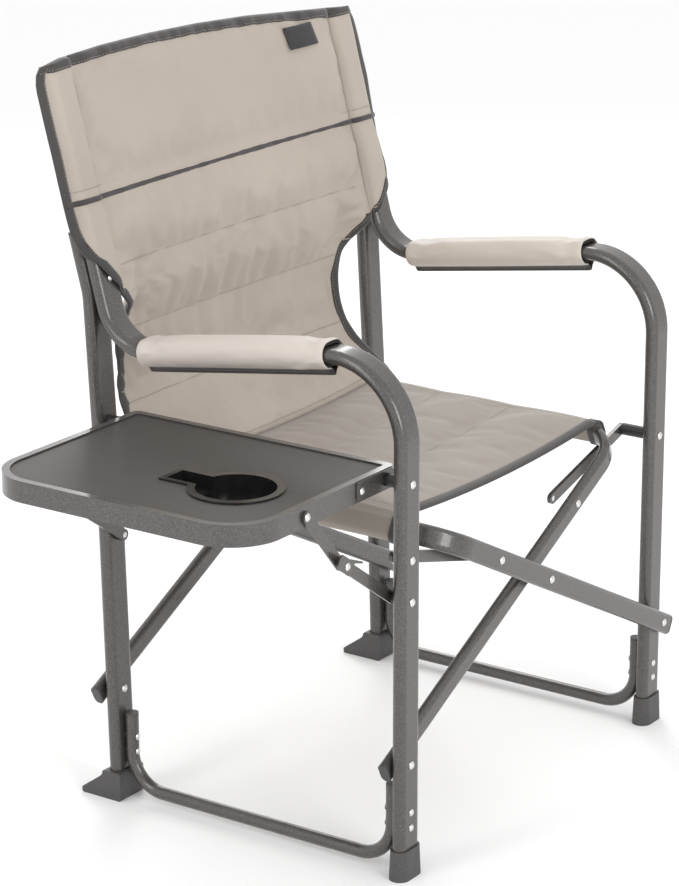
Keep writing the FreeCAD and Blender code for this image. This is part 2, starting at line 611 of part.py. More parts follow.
def pivots():
    """Pins, studs and spacer bushes of the folding frame."""
    low, high = rear_faces("pivot_height")
    group("right_cross_pins", [
        pin("-half_span", f"{FRONT_FACE} - gap", f"{A_FRONT[1]} + gap", "pivot_height"),
        pin("-half_span", f"{low} - gap", f"{A_REAR[1]} + gap", "pivot_height")])
    group("left_cross_pins", [
        pin("half_span", f"{B_FRONT[0]} - gap", f"{FRONT_BACK} + gap", "pivot_height"),
        pin("half_span", f"{B_REAR[0]} - gap", f"{high} + gap", "pivot_height")])
    group("crossing_pins", [
        pin("0", f"{B_FRONT[0]} - gap", f"{A_FRONT[1]} + gap", "cross_height"),
        pin("0", f"{B_REAR[0]} - gap", f"{A_REAR[1]} + gap", "cross_height")])
    group("crossing_bushes", [
        bush("0", f"{B_FRONT[1]} + gap", f"{A_FRONT[0]} - gap", "cross_height"),
        bush("0", f"{B_REAR[1]} + gap", f"{A_REAR[0]} - gap", "cross_height")])
    low, high = rear_faces("link_height")
    front, rear = LINK_Y["right", "front"], LINK_Y["right", "rear"]
    group("right_link_pins", [
        pin("-half_span", f"{FRONT_FACE} - gap", f"{front} + link_thick + gap", "link_height"),
        pin("-half_span", f"{rear} - gap", f"{high} + 2 * gap", "link_height")])
    group("right_link_studs", [
        pin(f"-{STUD_X}", f"{B_FRONT[0]} - gap", f"{front} - gap", STUD_Z, "front"),
        pin(f"-{STUD_X}", f"{B_REAR[0]} - gap", f"{rear} - gap", STUD_Z, "front")])
    group("right_link_bushes", [
        bush(f"-{STUD_X}", f"{B_FRONT[1]} + gap", f"{front} - gap", STUD_Z),
        bush(f"-{STUD_X}", f"{B_REAR[1]} + gap", f"{rear} - gap", STUD_Z)])
    group("right_link_rivets", [
        pin(f"-{STUD_X}", f"{y} + gap", f"{y} + link_thick + gap", STUD_Z, "back") for y in (front, rear)])
    front, rear = LINK_Y["left", "front"], LINK_Y["left", "rear"]
    group("left_link_pins", [
        pin("half_span", f"{FRONT_FACE} - gap", f"{front} + link_thick + gap", "link_height"),
        pin("half_span", f"{low} - 2 * gap", f"{rear} + link_thick + gap", "link_height")])
    group("left_link_bushes", [
        bush("half_span", f"{FRONT_BACK} + gap", f"{front} - gap", "link_height"),
        bush("half_span", f"{high} + 2 * gap", f"{rear} - gap", "link_height")])
    group("left_link_studs", [
        pin(STUD_X, f"{A_FRONT[0]} - gap", A_FRONT[1], STUD_Z, "front"),
        pin(STUD_X, f"{A_REAR[0]} - gap", A_REAR[1], STUD_Z, "front")])
    group("left_link_rivets", [
        pin(STUD_X, f"{y} + gap", f"{y} + link_thick + gap", STUD_Z, "back") for y in (front, rear)])


# --- side table ----------------------------------------------------------------------------------
def table_corners(inset):
    """Outline of the side table, moved in by a distance."""
    left, right = f"table_outer + ({inset})", f"table_inner - ({inset})"
    front, rear = f"table_front + ({inset})", f"table_back - ({inset})"
    outer, inner = f"corner_outer - ({inset})", f"corner_inner - ({inset}) / 2"
    return [(left, front, outer), (right, front, inner), (right, rear, inner), (left, rear, outer)]


def table_top():
    """Rim with its lip, the panel let into it and the cup well with its handle slot."""
    rim = body("table_rim")
    for inset, offset, height in (("apron_wall", "table_top - apron_height", "apron_height"),
                                  ("lip_width", "table_top - lip_thick", "lip_thick")):
        ring = sketch_on(rim, "XY_Plane", offset)
        outline(ring, table_corners("0"))
        outline(ring, table_corners(inset))
        pad(rim, ring, height)
    drill_side = sketch_on(rim, "XZ_Plane")
    for u, v in (("-half_span", "hinge_height"), ("strap_x", "strap_z")):
        circle(drill_side, u, v, HOLE)
    circle(drill_side, "-half_span - bracket_rivet", "hinge_height", SMALL_HOLE)
    pocket(rim, drill_side, "2 * (table_back - table_front)", both_ways=True)

    cup_outer = "cup_radius + cup_wall"
    slot_low, slot_high = "cup_x - slot_width / 2", "cup_x + slot_width / 2"
    panel = body("table_panel")
    board = sketch_on(panel, "XY_Plane", "table_top - lip_thick - panel_thick - gap / 2")
    outline(board, table_corners("apron_wall + gap"))
    pad(panel, board, "panel_thick")
    for shape in ("well", "slot"):
        cut = sketch_on(panel, "XY_Plane", "table_top")
        if shape == "well":
            circle(cut, "cup_x", "cup_y", f"{cup_outer} + gap")
        else:
            outline(cut, box_corners(f"{slot_low} - cup_wall - gap", "cup_y",
                                     f"{slot_high} + cup_wall + gap", "slot_end + cup_wall + gap"))
        pocket(panel, cut, "apron_height")

    cup = body("cup_holder")
    flange_base = "table_top - lip_thick"
    flange_thick = "lip_thick + gap"
    solid = sketch_on(cup, "XY_Plane", "table_top + gap - cup_depth - cup_wall")
    circle(solid, "cup_x", "cup_y", cup_outer)
    pad(cup, solid, "cup_depth")
    step = sketch_on(cup, "XY_Plane", "table_top + gap - slot_depth - cup_wall")
    outline(step, box_corners(f"{slot_low} - cup_wall", "cup_y",
                              f"{slot_high} + cup_wall", "slot_end + cup_wall"))
    pad(cup, step, "slot_depth")
    flange = sketch_on(cup, "XY_Plane", flange_base)
    circle(flange, "cup_x", "cup_y", "cup_radius + flange_width")
    pad(cup, flange, flange_thick)
    tongue = sketch_on(cup, "XY_Plane", flange_base)
    outline(tongue, box_corners(f"{slot_low} - tongue_border", "cup_y",
                                f"{slot_high} + tongue_border", "slot_end + tongue_border"))
    pad(cup, tongue, flange_thick)
    bore = sketch_on(cup, "XY_Plane", "table_top + gap")
    circle(bore, "cup_x", "cup_y", "cup_radius")
    pocket(cup, bore, "cup_depth")
    notch = sketch_on(cup, "XY_Plane", "table_top + gap")
    outline(notch, box_corners(slot_low, "cup_y", slot_high, "slot_end"))
    pocket(cup, notch, "slot_depth")


def plate(x_low, x_high, z_low, z_high, y_low, holes):
    """A bracket plate in the XZ plane."""
    made = body("Plate", register=False, x="-shift_x", y=f"{y_low} - shift_y")
    face = sketch_on(made, "XZ_Plane")
    outline(face, box_corners(x_low, z_low, x_high, z_high, "bracket_round"))
    for u, v, radius in holes:
        circle(face, u, v, radius)
    pad(made, face, "bracket_thick", reverse=True)
    return made


def strap(x, z, angle, length, y_low):
    """A brace link: a flat bar with an eye at each end."""
    made = body("Strap", register=False, x=f"{x} - shift_x", y=f"{y_low} - shift_y", z=z, tilt=angle)
    bar = sketch_on(made, "XZ_Plane")
    obround(bar, f"{length} + brace_width", "brace_width", f"{length} / 2")
    circle(bar, "0", "0", HOLE)
    circle(bar, length, "0", HOLE)
    pad(made, bar, "brace_thick", reverse=True)
    return made


# Triangle of the brace: from the leg's pivot to the table's pivot, with the knee below the line.
SPAN = "sqrt((strap_x + half_span)^2 + (strap_z - brace_height)^2)"
SPAN_ANGLE = "atan2(strap_z - brace_height; strap_x + half_span)"
LEG_CORNER = f"acos((lower_length^2 + ({SPAN})^2 - upper_length^2) / (2 * lower_length * {SPAN}))"
LOWER_ANGLE = f"({SPAN_ANGLE} + {LEG_CORNER})"
KNEE_X = f"(-half_span + lower_length * cos({LOWER_ANGLE}))"
KNEE_Z = f"(brace_height + lower_length * sin({LOWER_ANGLE}))"
KNEE_TO_TABLE = f"(180 deg - atan2(strap_z - {KNEE_Z}; {KNEE_X} - strap_x))"
# Stamped catch round the knee: a plate with a thin thumb lever, as (u, v, rounding).
CATCH_OUTLINE = [("-11", "8.5", "4"), ("19", "8.5", "4"), ("19", "-8.5", "4"), ("2", "-8.5", "1"),
                 ("-26", "-15", "1"), ("-26", "-12.5", "1"), ("-11", "-7.5", "1")]
UPPER_Y = {"front": "(table_front - brace_thick - brace_air)", "rear": "(table_back + brace_air)"}
LOWER_Y = {"front": f"({UPPER_Y['front']} - knee_step)", "rear": f"({UPPER_Y['rear']} + knee_step)"}


def table_supports():
    """Hinge, brackets and the jointed braces that hold the table level."""
    rivet_x = "-half_span - bracket_rivet"
    hinge_holes = [("-half_span", "hinge_height", HOLE), (rivet_x, "hinge_height", SMALL_HOLE)]
    bracket = ("-half_span - bracket_reach", "-half_span + bracket_nose",
               "table_top - apron_height + lip_thick", "table_top - lip_thick / 2")
    front_plate = "(table_front - bracket_thick - gap / 2)"
    rear_plate = "(table_back + gap / 2)"
    group("table_brackets", [plate(*bracket, y, hinge_holes) for y in (front_plate, rear_plate)])
    group("bracket_rivets", [
        small_rivet(rivet_x, f"{front_plate} - gap", "table_front + apron_wall + gap", "hinge_height"),
        small_rivet(rivet_x, "table_back - apron_wall - gap", f"{rear_plate} + bracket_thick + gap",
                    "hinge_height")])
    low, high = rear_faces("hinge_height")
    group("hinge_pins", [
        pin("-half_span", f"{FRONT_FACE} - gap", "table_front + apron_wall + gap", "hinge_height"),
        pin("-half_span", "table_back - apron_wall - gap", f"{high} + 2 * gap", "hinge_height")])
    bushes = [bush("-half_span", f"{FRONT_BACK} + gap", f"{front_plate} - gap", "hinge_height"),
              bush("-half_span", f"{rear_plate} + bracket_thick + gap", f"{low} - 2 * gap",
                   "hinge_height")]
    low, high = rear_faces("brace_height")
    front, rear = LOWER_Y["front"], LOWER_Y["rear"]
    group("brace_leg_pins", [
        pin("-half_span", f"{FRONT_FACE} - gap", f"{front} + brace_thick + gap", "brace_height", "front"),
        pin("-half_span", f"{rear} - gap", f"{high} + 2 * gap", "brace_height", "back")])
    bushes += [bush("-half_span", f"{FRONT_BACK} + gap", f"{front} - gap", "brace_height"),
               bush("-half_span", f"{rear} + brace_thick + gap", f"{low} - 2 * gap", "brace_height")]
    pivot_face = rear_faces("pivot_height")[1]
    bushes.append(bush("-half_span", f"{pivot_face} + gap", f"{A_REAR[0]} - gap", "pivot_height"))
    group("right_leg_bushes", bushes)
    outer_front, outer_rear = UPPER_Y["front"], UPPER_Y["rear"]
    group("brace_table_pins", [
        pin("strap_x", f"{outer_front} - gap", "table_front + apron_wall + gap", "strap_z"),
        pin("strap_x", "table_back - apron_wall - gap", f"{outer_rear} + brace_thick + gap", "strap_z")])
    group("brace_lower_links", [
        strap("-half_span", "brace_height", LOWER_ANGLE, "lower_length", y) for y in (front, rear)])
    group("brace_upper_links", [
        strap(KNEE_X, KNEE_Z, KNEE_TO_TABLE, "upper_length", y) for y in (outer_front, outer_rear)])
    catch_y = f"({LOWER_Y['front']} - catch_thick - gap)"
    group("brace_knee_rivets", [
        pin(KNEE_X, f"{catch_y} - gap", f"{LOWER_Y['front']} + brace_thick", KNEE_Z, "front"),
        pin(KNEE_X, LOWER_Y["rear"], f"{LOWER_Y['rear']} + brace_thick + gap", KNEE_Z, "back")])
    catch = body("brace_catch", x=KNEE_X, y=catch_y, z=KNEE_Z, tilt=LOWER_ANGLE)
    face = sketch_on(catch, "XZ_Plane")
    outline(face, CATCH_OUTLINE)
    circle(face, "0", "0", HOLE)
    pad(catch, face, "catch_thick", reverse=True)


# --- fabric --------------------------------------------------------------------------------------
def seat_sleeve(name, letter, tilt):
    """The seat's edge pocket, a padded sleeve round the straight part of a seat rail."""
    low = f"({letter}_front_y + cross_bend + 2)"
    made = body(name, y=low, z="cross_height", tilt=tilt)
    ring = sketch_on(made, "XZ_Plane")
    for extra in ("2 * gap", "2 * gap + 2 * sleeve_wall"):
        obround(ring, f"cross_depth + {extra}", f"cross_width + {extra}", "rail_reach", "0")
    pad(made, ring, f"{letter}_rear_y - cross_bend - 2 - {low}", reverse=True)


def fabric():
    """Plain closed solids in the places of the seat and the back."""
    seat = body("seat_panel", y="seat_front")
    cloth = sketch_on(seat, "XZ_Plane")
    edge, dip = "seat_top", "seat_top - seat_sag"
    outline(cloth, [("-seat_half", edge), ("0", dip, "sag_round"), ("seat_half", edge),
                    ("seat_half", f"{edge} - seat_thick"), ("0", f"{dip} - seat_thick", "sag_round"),
                    ("-seat_half", f"{edge} - seat_thick")])
    pad(seat, cloth, "seat_back - seat_front", reverse=True)
    spine = {"y": "rear_corner_y", "z": REAR_CORNER_Z, "lean": "back_lean"}
    for side, x in UP.items():
        pocket_body = body(f"{side}_back_pocket", x=x, **spine)
        ring = sketch_on(pocket_body, "XY_Plane", "pocket_start")
        obround(ring, "pocket_width", "pocket_depth")
        obround(ring, "leg_width + 2 * gap", "leg_depth + 2 * gap")
        pad(pocket_body, ring, "upright_length + 5 - pocket_start")
    back_panel()


def back_panel():
    """The back between the pockets: it leans with the uprights and bellies backwards below them."""
    back = body("back_panel")
    profile = sketch_on(back, "YZ_Plane")
    top_z = f"({REAR_CORNER_Z} + (upright_length + cap_thick) * cos(back_lean))"
    line = [("back_low_y", "back_low_z"), ("back_belly_y", "back_bend_z"),
            ("back_belly_y + gap", "back_belly_z"), ("back_knee_y", "back_knee_z"),
            (upright_y(top_z), top_z)]
    half = "back_thick / 2"
    front = [(f"{y} - {half}", z) for y, z in line]
    rear = [(f"{y} + {half}", z) for y, z in reversed(line)]
    outline(profile, front + rear)
    pad(back, profile, "2 * back_half", both_ways=True)
    for sign in ("", "-"):
        trimmed = sketch_on(back, "XZ_Plane")
        edge = [("back_half + back_round", "back_knee_z - back_round / 2"),
                ("back_waist", "back_waist_z + back_round"), ("back_waist", "back_waist_z - back_round"),
                ("back_foot", "back_low_z"), ("back_foot", "back_low_z - back_round"),
                ("back_half + back_round", "back_low_z - back_round")]
        outline(trimmed, [(f"{sign}({u})", v) for u, v in edge])
        pocket(back, trimmed, "2 * half_span", both_ways=True)


for side_name in UP:
    side_frame(side_name)
    side_fasteners(side_name)
    side_plastics(side_name)
    arm_pad(side_name)
cross_tube("a", TILT)
cross_tube("b", f"180 deg - {TILT}")
for (side_name, end), layer in LINK_Y.items():
    link(f"{side_name}_{end}_link", side_name, layer)
pivots()
table_top()
table_supports()
seat_sleeve("left_seat_sleeve", "a", TILT)
seat_sleeve("right_seat_sleeve", "b", f"180 deg - {TILT}")
fabric()
doc.recompute()

# Nothing is written unless every object is sound.
faults = [f"{obj.Name}: {obj.State}" for obj in doc.Objects if {"Invalid", "Error"} & set(obj.State)]
faults += [obj.Label for obj in parts if obj.Shape.isNull() or not obj.Shape.isValid()]
faults += [f"{obj.Label}: no solid" for obj in parts if not obj.Shape.Solids]
if faults:
    raise RuntimeError("; ".join(faults))
os.makedirs("parts", exist_ok=True)
for obj in parts:
    obj.Shape.exportStep(f"parts/{obj.Label}.step")
    print(f"{obj.Label:22s} solids {len(obj.Shape.Solids)}  volume {obj.Shape.Volume / 1000:.1f} cm3")
whole = FreeCAD.BoundBox()
for obj in parts:
    whole.add(obj.Shape.BoundBox)
print(f"{len(parts)} nodes, box {whole}")
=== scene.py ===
"""Looks of the folding camp chair: fabric, trim, materials, floor, light and camera.

Chair axes, used for the soft pieces: x = 0 is the middle of the chair, +X the sitter's left, the
sitter faces -Y and the floor is z = 0.  at() moves such a point into the shared frame.  Metres.
"""

import json
import math

import bmesh
import bpy
import numpy as np
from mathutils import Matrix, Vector, noise
from mathutils.bvhtree import BVHTree


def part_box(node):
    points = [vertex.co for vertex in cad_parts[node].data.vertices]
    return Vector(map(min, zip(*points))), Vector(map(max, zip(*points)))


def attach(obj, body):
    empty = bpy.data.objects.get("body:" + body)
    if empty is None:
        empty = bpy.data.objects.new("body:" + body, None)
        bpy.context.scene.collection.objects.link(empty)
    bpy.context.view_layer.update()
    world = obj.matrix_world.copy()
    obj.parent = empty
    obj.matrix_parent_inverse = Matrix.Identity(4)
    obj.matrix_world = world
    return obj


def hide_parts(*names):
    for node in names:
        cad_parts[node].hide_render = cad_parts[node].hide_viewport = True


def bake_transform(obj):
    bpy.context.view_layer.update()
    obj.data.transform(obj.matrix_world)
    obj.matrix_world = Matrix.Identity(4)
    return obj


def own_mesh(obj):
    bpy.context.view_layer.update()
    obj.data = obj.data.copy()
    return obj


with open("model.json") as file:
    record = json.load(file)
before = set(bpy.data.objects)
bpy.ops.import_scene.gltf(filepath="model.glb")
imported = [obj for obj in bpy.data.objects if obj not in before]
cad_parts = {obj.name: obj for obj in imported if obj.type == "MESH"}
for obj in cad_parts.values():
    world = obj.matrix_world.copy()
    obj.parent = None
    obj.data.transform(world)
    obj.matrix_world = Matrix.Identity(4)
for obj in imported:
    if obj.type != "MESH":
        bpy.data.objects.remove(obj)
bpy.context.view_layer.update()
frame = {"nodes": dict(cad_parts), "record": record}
scene = bpy.context.scene

# --- places taken from the frame ------------------------------------------------------------------
right_tube, left_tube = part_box("right_frame_tube"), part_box("left_frame_tube")
MID_X = (right_tube[0].x + left_tube[1].x) / 2
FRONT_LEG_Y = -0.258
MID_Y = (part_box("right_front_foot")[0].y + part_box("right_front_foot")[1].y) / 2 - FRONT_LEG_Y
SHIFT = np.array([MID_X, MID_Y, 0.0])
LEAN = math.radians(15)
POCKET_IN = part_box("right_back_pocket")[1].x - MID_X
SEAM_X = -POCKET_IN + 0.0005
BACK_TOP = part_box("back_panel")[1].z


def at(x, y, z):
    """A chair point in the shared frame."""
    return Vector((x + MID_X, y + MID_Y, z))


# --- materials ------------------------------------------------------------------------------------
class Nodes:
    """A new node material with one Principled shader."""

    def __init__(self, name, color, rough, metallic=0.0, sheen=0.0, coat=0.0, coat_rough=0.1, ior=1.5):
        self.material = bpy.data.materials.new(name)
        self.material.use_nodes = True
        self.tree = self.material.node_tree
        self.shader = self.tree.nodes["Principled BSDF"]
        self.put("Base Color", (*color, 1))
        self.put("Roughness", rough)
        self.put("Metallic", metallic)
        self.put("Sheen Weight", sheen)
        self.put("Sheen Roughness", 0.45)
        self.put("Coat Weight", coat)
        self.put("Coat Roughness", coat_rough)
        self.put("IOR", ior)
        self.coords = self.tree.nodes.new("ShaderNodeTexCoord").outputs["Object"]
        self.normal = None

    def put(self, socket, value):
        self.shader.inputs[socket].default_value = value

    def link(self, a, b):
        self.tree.links.new(a, b)

    def noise(self, scale, detail=2.0, stretch=(1, 1, 1), rough=0.5):
        mapping = self.tree.nodes.new("ShaderNodeMapping")
        mapping.inputs["Scale"].default_value = stretch
        self.link(self.coords, mapping.inputs["Vector"])
        node = self.tree.nodes.new("ShaderNodeTexNoise")
        node.inputs["Scale"].default_value = scale
        node.inputs["Detail"].default_value = detail
        node.inputs["Roughness"].default_value = rough
        self.link(mapping.outputs[0], node.inputs["Vector"])
        return node.outputs["Fac"]

    def wave(self, axis, pitch, distortion=0.6):
        node = self.tree.nodes.new("ShaderNodeTexWave")
        node.bands_direction = axis
        node.inputs["Scale"].default_value = 2 * math.pi / pitch / 20
        node.inputs["Distortion"].default_value = distortion
        node.inputs["Detail Scale"].default_value = 2.0
        self.link(self.coords, node.inputs["Vector"])
        return node.outputs["Fac"]

    def math(self, operation, a, b):
        node = self.tree.nodes.new("ShaderNodeMath")
        node.operation = operation
        for socket, value in zip(node.inputs, (a, b)):
            if isinstance(value, (int, float)):
                socket.default_value = value
            else:
                self.link(value, socket)
        return node.outputs[0]

    def ramp(self, fac, stops):
        node = self.tree.nodes.new("ShaderNodeValToRGB")
        while len(node.color_ramp.elements) < len(stops):
            node.color_ramp.elements.new(0.5)
        for element, (spot, color) in zip(node.color_ramp.elements, stops):
            element.position = spot
            element.color = (*color, 1)
        self.link(fac, node.inputs["Fac"])
        return node.outputs["Color"]

    def remap(self, fac, low, high):
        node = self.tree.nodes.new("ShaderNodeMapRange")
        node.inputs["To Min"].default_value = low
        node.inputs["To Max"].default_value = high
        self.link(fac, node.inputs["Value"])
        return node.outputs["Result"]

    def tint(self, fac):
        self.link(fac, self.shader.inputs["Base Color"])

    def roughness(self, fac, low, high):
        self.link(self.remap(fac, low, high), self.shader.inputs["Roughness"])

    def bump(self, height, strength, distance):
        node = self.tree.nodes.new("ShaderNodeBump")
        node.inputs["Strength"].default_value = strength
        node.inputs["Distance"].default_value = distance
        self.link(height, node.inputs["Height"])
        if self.normal is not None:
            self.link(self.normal, node.inputs["Normal"])
        self.normal = node.outputs["Normal"]
        self.link(self.normal, self.shader.inputs["Normal"])


def shade(color, factor):
    return tuple(min(1.0, c * factor) for c in color)


SAND = (0.405, 0.354, 0.303)
TAPE = (0.043, 0.040, 0.039)
PAINT = (0.069, 0.064, 0.061)


def cloth_material(name, color, axes, pitch, sheen=0.25, rough=0.62, spread=0.06):
    """Coated plain weave: two sets of threads, soft blotches and a little sheen."""
    m = Nodes(name, color, rough, sheen=sheen)
    blotch = m.noise(9.0, 3.0)
    grain = m.noise(700.0, 2.0)
    both = m.math("ADD", m.math("MULTIPLY", blotch, 0.7), m.math("MULTIPLY", grain, 0.3))
    m.tint(m.ramp(both, [(0.30, shade(color, 1 - spread)), (0.70, shade(color, 1 + spread))]))
    m.roughness(m.noise(60.0, 2.0), rough - 0.06, rough + 0.08)
    weave = m.math("MULTIPLY", m.wave(axes[0], pitch), m.wave(axes[1], pitch))
    m.bump(m.noise(38.0, 3.0), 0.10, 0.0012)
    m.bump(weave, 0.22, 0.00022)
    return m.material


def hammered_paint(name, color):
    """Hammertone coat: shallow dimples with silver veins between darker cells."""
    m = Nodes(name, color, 0.34, metallic=0.35, coat=0.6, coat_rough=0.13)
    cells = m.noise(640.0, 2.5, rough=0.6)
    veins = m.noise(1500.0, 1.5, rough=0.7)
    pattern = m.math("ADD", m.math("MULTIPLY", cells, 0.55), m.math("MULTIPLY", veins, 0.45))
    m.tint(m.ramp(pattern, [(0.36, shade(color, 0.62)), (0.50, color), (0.60, shade(color, 1.6)),
                            (0.72, shade(color, 2.4))]))
    m.roughness(cells, 0.24, 0.44)
    m.bump(cells, 0.30, 0.0005)
    return m.material


def plastic(name, color, rough, scale, depth, coat=0.0):
    m = Nodes(name, color, rough, coat=coat)
    grain = m.noise(scale, 3.0)
    m.tint(m.ramp(grain, [(0.35, shade(color, 0.8)), (0.65, shade(color, 1.25))]))
    m.roughness(m.noise(90.0, 3.0), rough - 0.06, rough + 0.10)
    m.bump(grain, 0.25, depth)
    return m.material


def board(name, color):
    """Table board: satin laminate with fine streaks along its length."""
    m = Nodes(name, color, 0.5, ior=1.33)
    streak = m.noise(14.0, 4.0, stretch=(26, 1, 26), rough=0.6)
    speck = m.noise(900.0, 2.0)
    both = m.math("ADD", m.math("MULTIPLY", streak, 0.7), m.math("MULTIPLY", speck, 0.3))
    m.tint(m.ramp(both, [(0.32, shade(color, 0.82)), (0.68, shade(color, 1.22))]))
    m.roughness(streak, 0.44, 0.58)
    m.bump(both, 0.12, 0.0002)
    return m.material


def steel(name):
    m = Nodes(name, (0.72, 0.71, 0.70), 0.24, metallic=1.0)
    m.roughness(m.noise(900.0, 2.0), 0.18, 0.36)
    m.bump(m.noise(500.0, 2.0), 0.08, 0.0002)
    return m.material


def foam_material(name):
    m = Nodes(name, (0.018, 0.018, 0.019), 0.9)
    cells = m.noise(900.0, 4.0)
    m.tint(m.ramp(cells, [(0.4, (0.006, 0.006, 0.006)), (0.6, (0.030, 0.030, 0.032))]))
    m.bump(cells, 0.6, 0.0006)
    return m.material


MATERIALS = {
    "frame_paint": hammered_paint("frame_paint", PAINT),
    "dark_plastic": plastic("dark_plastic", (0.060, 0.058, 0.057), 0.48, 700.0, 0.0003),
    "bush_plastic": plastic("bush_plastic", (0.022, 0.022, 0.022), 0.40, 500.0, 0.0002),
    "bright_rivet": steel("bright_rivet"),
    "foam": foam_material("foam"),
    "table_board": board("table_board", (0.068, 0.063, 0.059)),
    "cup_plastic": plastic("cup_plastic", (0.010, 0.010, 0.010), 0.16, 260.0, 0.00008, coat=0.4),
    "sand_fabric": cloth_material("sand_back", SAND, "XZ", 0.0011),
}
# Painted shade: the seat takes the back's sand fabric darkened to 0.75, so its upward-facing top reads
# darker than the back under the same lamps.
SAND_SEAT_SHADED = cloth_material("sand_seat_painted_shade", shade(SAND, 0.75), "XY", 0.0011)
SAND_ARM = cloth_material("sand_arm", (0.550, 0.497, 0.445), "YZ", 0.0011,
                          sheen=0.15, rough=0.5, spread=0.035)
DARK_TAPE = cloth_material("dark_tape", TAPE, "XZ", 0.0016, sheen=0.3, rough=0.7, spread=0.14)
THREAD = cloth_material("thread", shade(SAND, 0.70), "XZ", 0.0006, spread=0.1)
TAG_FACE = cloth_material("tag_face", (0.012, 0.012, 0.012), "XZ", 0.0008, sheen=0.1, rough=0.45, spread=0.2)

for name, node in frame["nodes"].items():
    slot_name = next(s["material_slot"] for s in frame["record"]["subparts"] if s["node"] == name)
    node.data.materials.clear()
    node.data.materials.append(MATERIALS[slot_name])


# --- mesh helpers ---------------------------------------------------------------------------------
class Builder:
    """Collects verts and faces in chair axes, with a material number for each face."""

    def __init__(self):
        self.verts, self.faces, self.marks = [], [], []

    def grid(self, rows, mark=0, closed=False):
        """Quads between rows of points; closed joins the last row to the first."""
        base, count = len(self.verts), len(rows[0])
        for row in rows:
            self.verts.extend(tuple(p) for p in row)
        total = len(rows)
        for i in range(total if closed else total - 1):
            a, b = base + i * count, base + (i + 1) % total * count
            for j in range(count - 1):
                self.faces.append((a + j, a + j + 1, b + j + 1, b + j))
                self.marks.append(mark)

    def loop(self, sections, mark=0):
        """A solid strip: closed cross-sections one after another, capped at both ends."""
        base, count = len(self.verts), len(sections[0])
        for section in sections:
            self.verts.extend(tuple(p) for p in section)
        for i in range(len(sections) - 1):
            a, b = base + i * count, base + (i + 1) * count
            for j in range(count):
                k = (j + 1) % count
                self.faces.append((a + j, a + k, b + k, b + j))
                self.marks.append(mark)
        last = base + (len(sections) - 1) * count
        self.faces.append(tuple(range(base + count - 1, base - 1, -1)))
        self.faces.append(tuple(range(last, last + count)))
        self.marks.extend((mark, mark))

    def ring(self, sections, mark=0):
        """A closed band: closed cross-sections that lead back to the first one."""
        base, count, total = len(self.verts), len(sections[0]), len(sections)
        for section in sections:
            self.verts.extend(tuple(p) for p in section)
        for i in range(total):
            a, b = base + i * count, base + (i + 1) % total * count
            for j in range(count):
                k = (j + 1) % count
                self.faces.append((a + j, a + k, b + k, b + j))
                self.marks.append(mark)

    def stitches(self, line, normals, pitch=0.0042, length=0.0030, thick=0.00045, mark=1):
        """Short raised threads along a line of points, each a slim eight-sided bead."""
        line = np.asarray(line, float)
        normals = np.asarray(normals, float)
        steps = np.linalg.norm(np.diff(line, axis=0), axis=1)
        along = np.concatenate([[0], np.cumsum(steps)])
        for s in np.arange(pitch / 2, along[-1] - pitch / 2, pitch):
            mid = np.array([np.interp(s, along, line[:, k]) for k in range(3)])
            ahead = np.array([np.interp(s + length / 2, along, line[:, k]) for k in range(3)])
            way = ahead - mid
            way /= max(np.linalg.norm(way), 1e-9)
            up = np.array([np.interp(s, along, normals[:, k]) for k in range(3)])
            up /= max(np.linalg.norm(up), 1e-9)
            side = np.cross(way, up)
            base = len(self.verts)
            tips = [mid - way * length / 2, mid + way * length / 2]
            for reach in (-0.28, 0.28):
                centre = mid + way * length * reach + up * thick * 0.7
                for a, b in ((1, 0), (0, 1), (-1, 0), (0, -0.6)):
                    self.verts.append(tuple(centre + side * thick * a + up * thick * b))
            self.verts.extend(tuple(t) for t in tips)
            for j in range(4):
                k = (j + 1) % 4
                self.faces.append((base + j, base + k, base + 4 + k, base + 4 + j))
                self.faces.append((base + k, base + j, base + 8))
                self.faces.append((base + 4 + j, base + 4 + k, base + 9))
                self.marks.extend((mark, mark, mark))

    def make(self, name, materials, smooth=True, levels=0):
        mesh = bpy.data.meshes.new(name)
        verts = np.asarray(self.verts, float).reshape(-1, 3) + SHIFT
        mesh.from_pydata(verts.tolist(), [], self.faces)
        for m in materials:
            mesh.materials.append(m)
        mesh.polygons.foreach_set("material_index", self.marks)
        mesh.polygons.foreach_set("use_smooth", [smooth] * len(self.faces))
        mesh.validate()
        obj = bpy.data.objects.new(name, mesh)
        scene.collection.objects.link(obj)
        tidy(obj)
        if levels:
            sub = obj.modifiers.new("Round", "SUBSURF")
            sub.levels = sub.render_levels = levels
        return obj


def tidy(obj):
    """Drops loose points and turns every face outwards."""
    bm = bmesh.new()
    bm.from_mesh(obj.data)
    loose = [v for v in bm.verts if not v.link_faces]
    bmesh.ops.delete(bm, geom=loose, context="VERTS")
    bmesh.ops.recalc_face_normals(bm, faces=bm.faces)
    bm.to_mesh(obj.data)
    bm.free()


def shell_faces(cells, rows, cols):
    """Quads of a closed shell over the marked cells: front sheet, back sheet and the rim."""
    offset = rows * cols
    front, back, rim = [], [], []
    for r in range(rows - 1):
        for c in range(cols - 1):
            if not cells[r, c]:
                continue
            a, b, d, e = r * cols + c, r * cols + c + 1, (r + 1) * cols + c + 1, (r + 1) * cols + c
            front.append((a, b, d, e))
            back.append((e + offset, d + offset, b + offset, a + offset))
            sides = (((-1, 0), (a, b)), ((0, 1), (b, d)), ((1, 0), (d, e)), ((0, -1), (e, a)))
            for (dr, dc), (p, q) in sides:
                rr, cc = r + dr, c + dc
                inside = 0 <= rr < rows - 1 and 0 <= cc < cols - 1 and cells[rr, cc]
                if not inside:
                    rim.append((q, p, p + offset, q + offset))
    return front, back, rim


